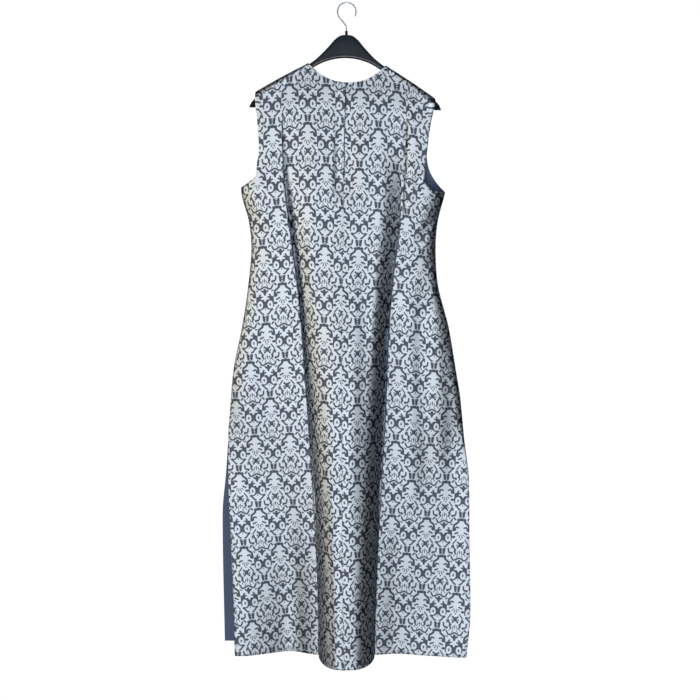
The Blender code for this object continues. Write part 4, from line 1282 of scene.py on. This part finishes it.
def arm_section(reach):
    """The arm's half width, and the heights of its top, of its widest level and of its foot."""
    top = along(ARM, "top", reach, "x")
    bottom = along(ARM, "bottom", reach, "x")
    half = along(ARM, "half", reach, "x")
    return half, top, top - np.minimum(0.75 * half, 0.6 * (top - bottom)), bottom


def arm_side(reach, up):
    """Half width and height of the arm's side at a height above its foot."""
    half, _, widest, bottom = arm_section(reach)
    sine = (1 - up / (widest - bottom)) ** (1 / 0.6)
    return half * np.sqrt(1 - sine ** 2), bottom + up


def arm_rings(x, ring):
    """Sections of the hanger's arm at x: an ellipse's arch on top, a squarer underside."""
    half, top, widest, bottom = arm_section(np.abs(x)[:, None])
    turn = circle(ring, 0.5)
    sine = np.sin(turn)
    lift = np.where(sine > 0, (top - widest) * sine, (bottom - widest) * np.abs(sine) ** 0.6)
    return np.stack((np.repeat(x[:, None], ring, 1), half * np.cos(turn), lift + widest), -1)


class ROBE_OT_hanger(bpy.types.Operator):
    """Builds the hanger's moulded arms, its rim, its collar and its hook"""
    bl_idname = "robe.hanger"
    bl_label = "Hanger"

    def execute(self, context):
        looks = context.scene.robe_looks
        ring = context.scene.robe_sizes.ring
        half = ARM["x"][-1] * (1 - (1 - np.linspace(0, 1, 74)) ** 1.35)
        x = np.concatenate((-half[:0:-1], half))
        rings = arm_rings(x, ring)
        plastic = moulded_plastic("hanger_plastic_black", tuple(looks.plastic))
        arms = new_object("hanger_moulded_arms", tilted(rings.reshape(-1, 3)),
                          tube_faces(len(x), ring), [plastic], 50.0)
        outward(arms)
        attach(arms, "robe")
        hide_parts("hanger_arms")

        reach = np.linspace(-RIM_REACH, RIM_REACH, 120)
        front, low = arm_side(np.abs(reach), RIM_LIFT)
        for name, side in (("hanger_rim", 1), ("hanger_rim_front", -1)):
            path = tilted(np.stack((reach, -front * side, low), -1))
            rim = new_object(name, *swept(path, RIM_RADIUS, 10),
                             [moulded_plastic(name + "_plastic", tuple(looks.plastic_rim), 0.24)])
            outward(rim)
            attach(rim, "robe")

        turn = circle(48)
        wide, high = COLLAR[:, :1], COLLAR[:, 1:]
        points = np.stack((wide * np.cos(turn), wide * np.sin(turn), np.repeat(high, 48, 1)), -1)
        collar = new_object("hook_collar_ring", tilted(points.reshape(-1, 3)),
                            ring_faces(len(COLLAR), 48), [plastic], 30.0)
        outward(collar)
        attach(collar, "robe")
        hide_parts("hook_collar")

        path, radius = hook_line()
        hook = new_object("hook_wire", *swept(tilted(path), radius, 20),
                          [bright_wire("plated_wire")])
        outward(hook)
        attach(hook, "robe")
        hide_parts("hanger_hook")
        return {"FINISHED"}


def hook_line():
    """The hook's middle line and radius: part of a circle, a cubic bend, then a straight stem."""
    bow, wire, pull = 21.0, 1.5, 11.0
    turn = np.radians(np.linspace(-28.0, 216.0, 110))
    arc = np.stack((bow * np.cos(turn), np.zeros(110), wire - bow + bow * np.sin(turn)), -1)
    heading = np.array([-math.sin(turn[-1]), 0.0, math.cos(turn[-1])])
    end = np.array([0.0, 0.0, -58.0])
    t = np.linspace(0, 1, 34)[1:, None]
    first = (1 - t) ** 3 * arc[-1] + 3 * (1 - t) ** 2 * t * (arc[-1] + heading * pull)
    bend = first + 3 * (1 - t) * t ** 2 * (end + np.array([0, 0, pull])) + t ** 3 * end
    stem = np.array([[0.0, 0.0, z] for z in (-60.0, -63.0, -66.0, -69.7)])
    path = np.concatenate((arc, bend, stem))
    run = np.concatenate(([0.0], np.cumsum(np.linalg.norm(np.diff(path, axis=0), axis=1))))
    return path, wire * np.sqrt(np.clip(1 - (1 - np.clip(run / wire, 0, 1)) ** 2, 0.04, 1))


class ROBE_OT_stage(bpy.types.Operator):
    """Makes the pale floor, the soft lights, the sky and the camera"""
    bl_idname = "robe.stage"
    bl_label = "Stage"

    def execute(self, context):
        scene = context.scene
        ring, count = FLOOR_RADIUS * np.linspace(0, 1, 12)[1:, None], 96
        turn = circle(count)
        level = np.full((len(ring), count), scene.robe_sizes.floor / MM)
        points = np.stack((ring * np.cos(turn), ring * np.sin(turn), level), -1).reshape(-1, 3)
        faces = tube_faces(len(ring), count, False) + [list(range(count))]
        floor = new_object("stage_floor", points, faces, [floor_finish("pale_floor")])
        for name, place, aim, size, tall, power, tone in LAMPS:
            lamp(scene, name, place, aim, size, tall, power, tone)

        sky = scene.world or bpy.data.worlds.new("pale_sky")
        scene.world = sky
        sky.use_nodes = True
        tree = sky.node_tree
        glow = next(n for n in tree.nodes if n.type == "BACKGROUND")
        glow.inputs["Color"].default_value = SKY
        seen = tree.nodes.new("ShaderNodeLightPath")
        strength = tree.nodes.new("ShaderNodeMapRange")
        tree.links.new(seen.outputs["Is Camera Ray"], strength.inputs["Value"])
        strength.inputs["To Min"].default_value = SKY_STRENGTH[0]
        strength.inputs["To Max"].default_value = SKY_STRENGTH[1]
        tree.links.new(strength.outputs["Result"], glow.inputs["Strength"])

        lens = bpy.data.cameras.new("camera")
        lens.lens = LENS
        lens.sensor_width = 36.0
        camera = bpy.data.objects.new("camera", lens)
        scene.collection.objects.link(camera)
        camera.location = EYE
        camera.rotation_euler = (math.radians(90 - LOOK_DOWN), 0.0, 0.0)
        scene.camera = camera
        scene.view_settings.view_transform = "Standard"
        return {"FINISHED"}


def lamp(scene, name, place, aim, size, tall, power, tone):
    """A soft rectangular light that points at a place."""
    light = bpy.data.lights.new(name, "AREA")
    light.shape = "RECTANGLE"
    light.size = size
    light.size_y = tall
    light.energy = power
    light.color = tone
    item = bpy.data.objects.new(name, light)
    scene.collection.objects.link(item)
    item.location = place
    item.rotation_euler = (Vector(aim) - Vector(place)).to_track_quat("-Z", "Y").to_euler()


class ROBE_PT_panel(bpy.types.Panel):
    """Lists the robe's pieces, sizes and colours"""
    bl_idname = "ROBE_PT_panel"
    bl_label = "Damask Robe"
    bl_space_type = "VIEW_3D"
    bl_region_type = "UI"
    bl_category = "Robe"

    def draw(self, context):
        """Draws a button for each operator and a field for each size and colour."""
        for name in OPERATORS:
            self.layout.operator(name)
        for group in (context.scene.robe_sizes, context.scene.robe_looks):
            for key in group.__annotations__:
                self.layout.prop(group, key)


SHEETS = (
    ("robe_back_left", (0.345, 1.421), 0.391, ("zip_tape", "zip_teeth", "zip_slider")),
    ("robe_back_right", (0.366, 1.407), 0.404, ("fold_stitches",)),
    ("robe_front", (0.626, 1.434), 0.731, ()),
    ("robe_front_lining", (0.626, 1.432), 0.727, ()),
)
OPERATORS = ("robe.back", "robe.front", "robe.zip", "robe.stitches", "robe.hanger", "robe.stage")
CLASSES = (RobeSizes, RobeLooks, ROBE_OT_back, ROBE_OT_front, ROBE_OT_zip, ROBE_OT_stitches,
           ROBE_OT_hanger, ROBE_OT_stage, ROBE_PT_panel)


def register():
    """Registers the classes, and gives the scene its sizes and colours."""
    for cls in CLASSES:
        bpy.utils.register_class(cls)
    bpy.types.Scene.robe_sizes = PointerProperty(type=RobeSizes)
    bpy.types.Scene.robe_looks = PointerProperty(type=RobeLooks)


def unregister():
    """Takes back what register gave, in the opposite order."""
    del bpy.types.Scene.robe_looks
    del bpy.types.Scene.robe_sizes
    for cls in reversed(CLASSES):
        bpy.utils.unregister_class(cls)


def declare_sheets():
    """Looks up, by name, the pieces listed with each cloth piece in SHEETS, which also gives
    its widest row and longest column laid flat, and the area of its cut."""
    for name, flat, area, pieces in SHEETS:
        [bpy.data.objects[piece] for piece in pieces]


def main():
    register()
    bpy.ops.robe.back()
    bpy.ops.robe.front()
    bpy.ops.robe.zip()
    bpy.ops.robe.stitches()
    bpy.ops.robe.hanger()
    bpy.ops.robe.stage()
    declare_sheets()


if __name__ == "__main__":
    main()
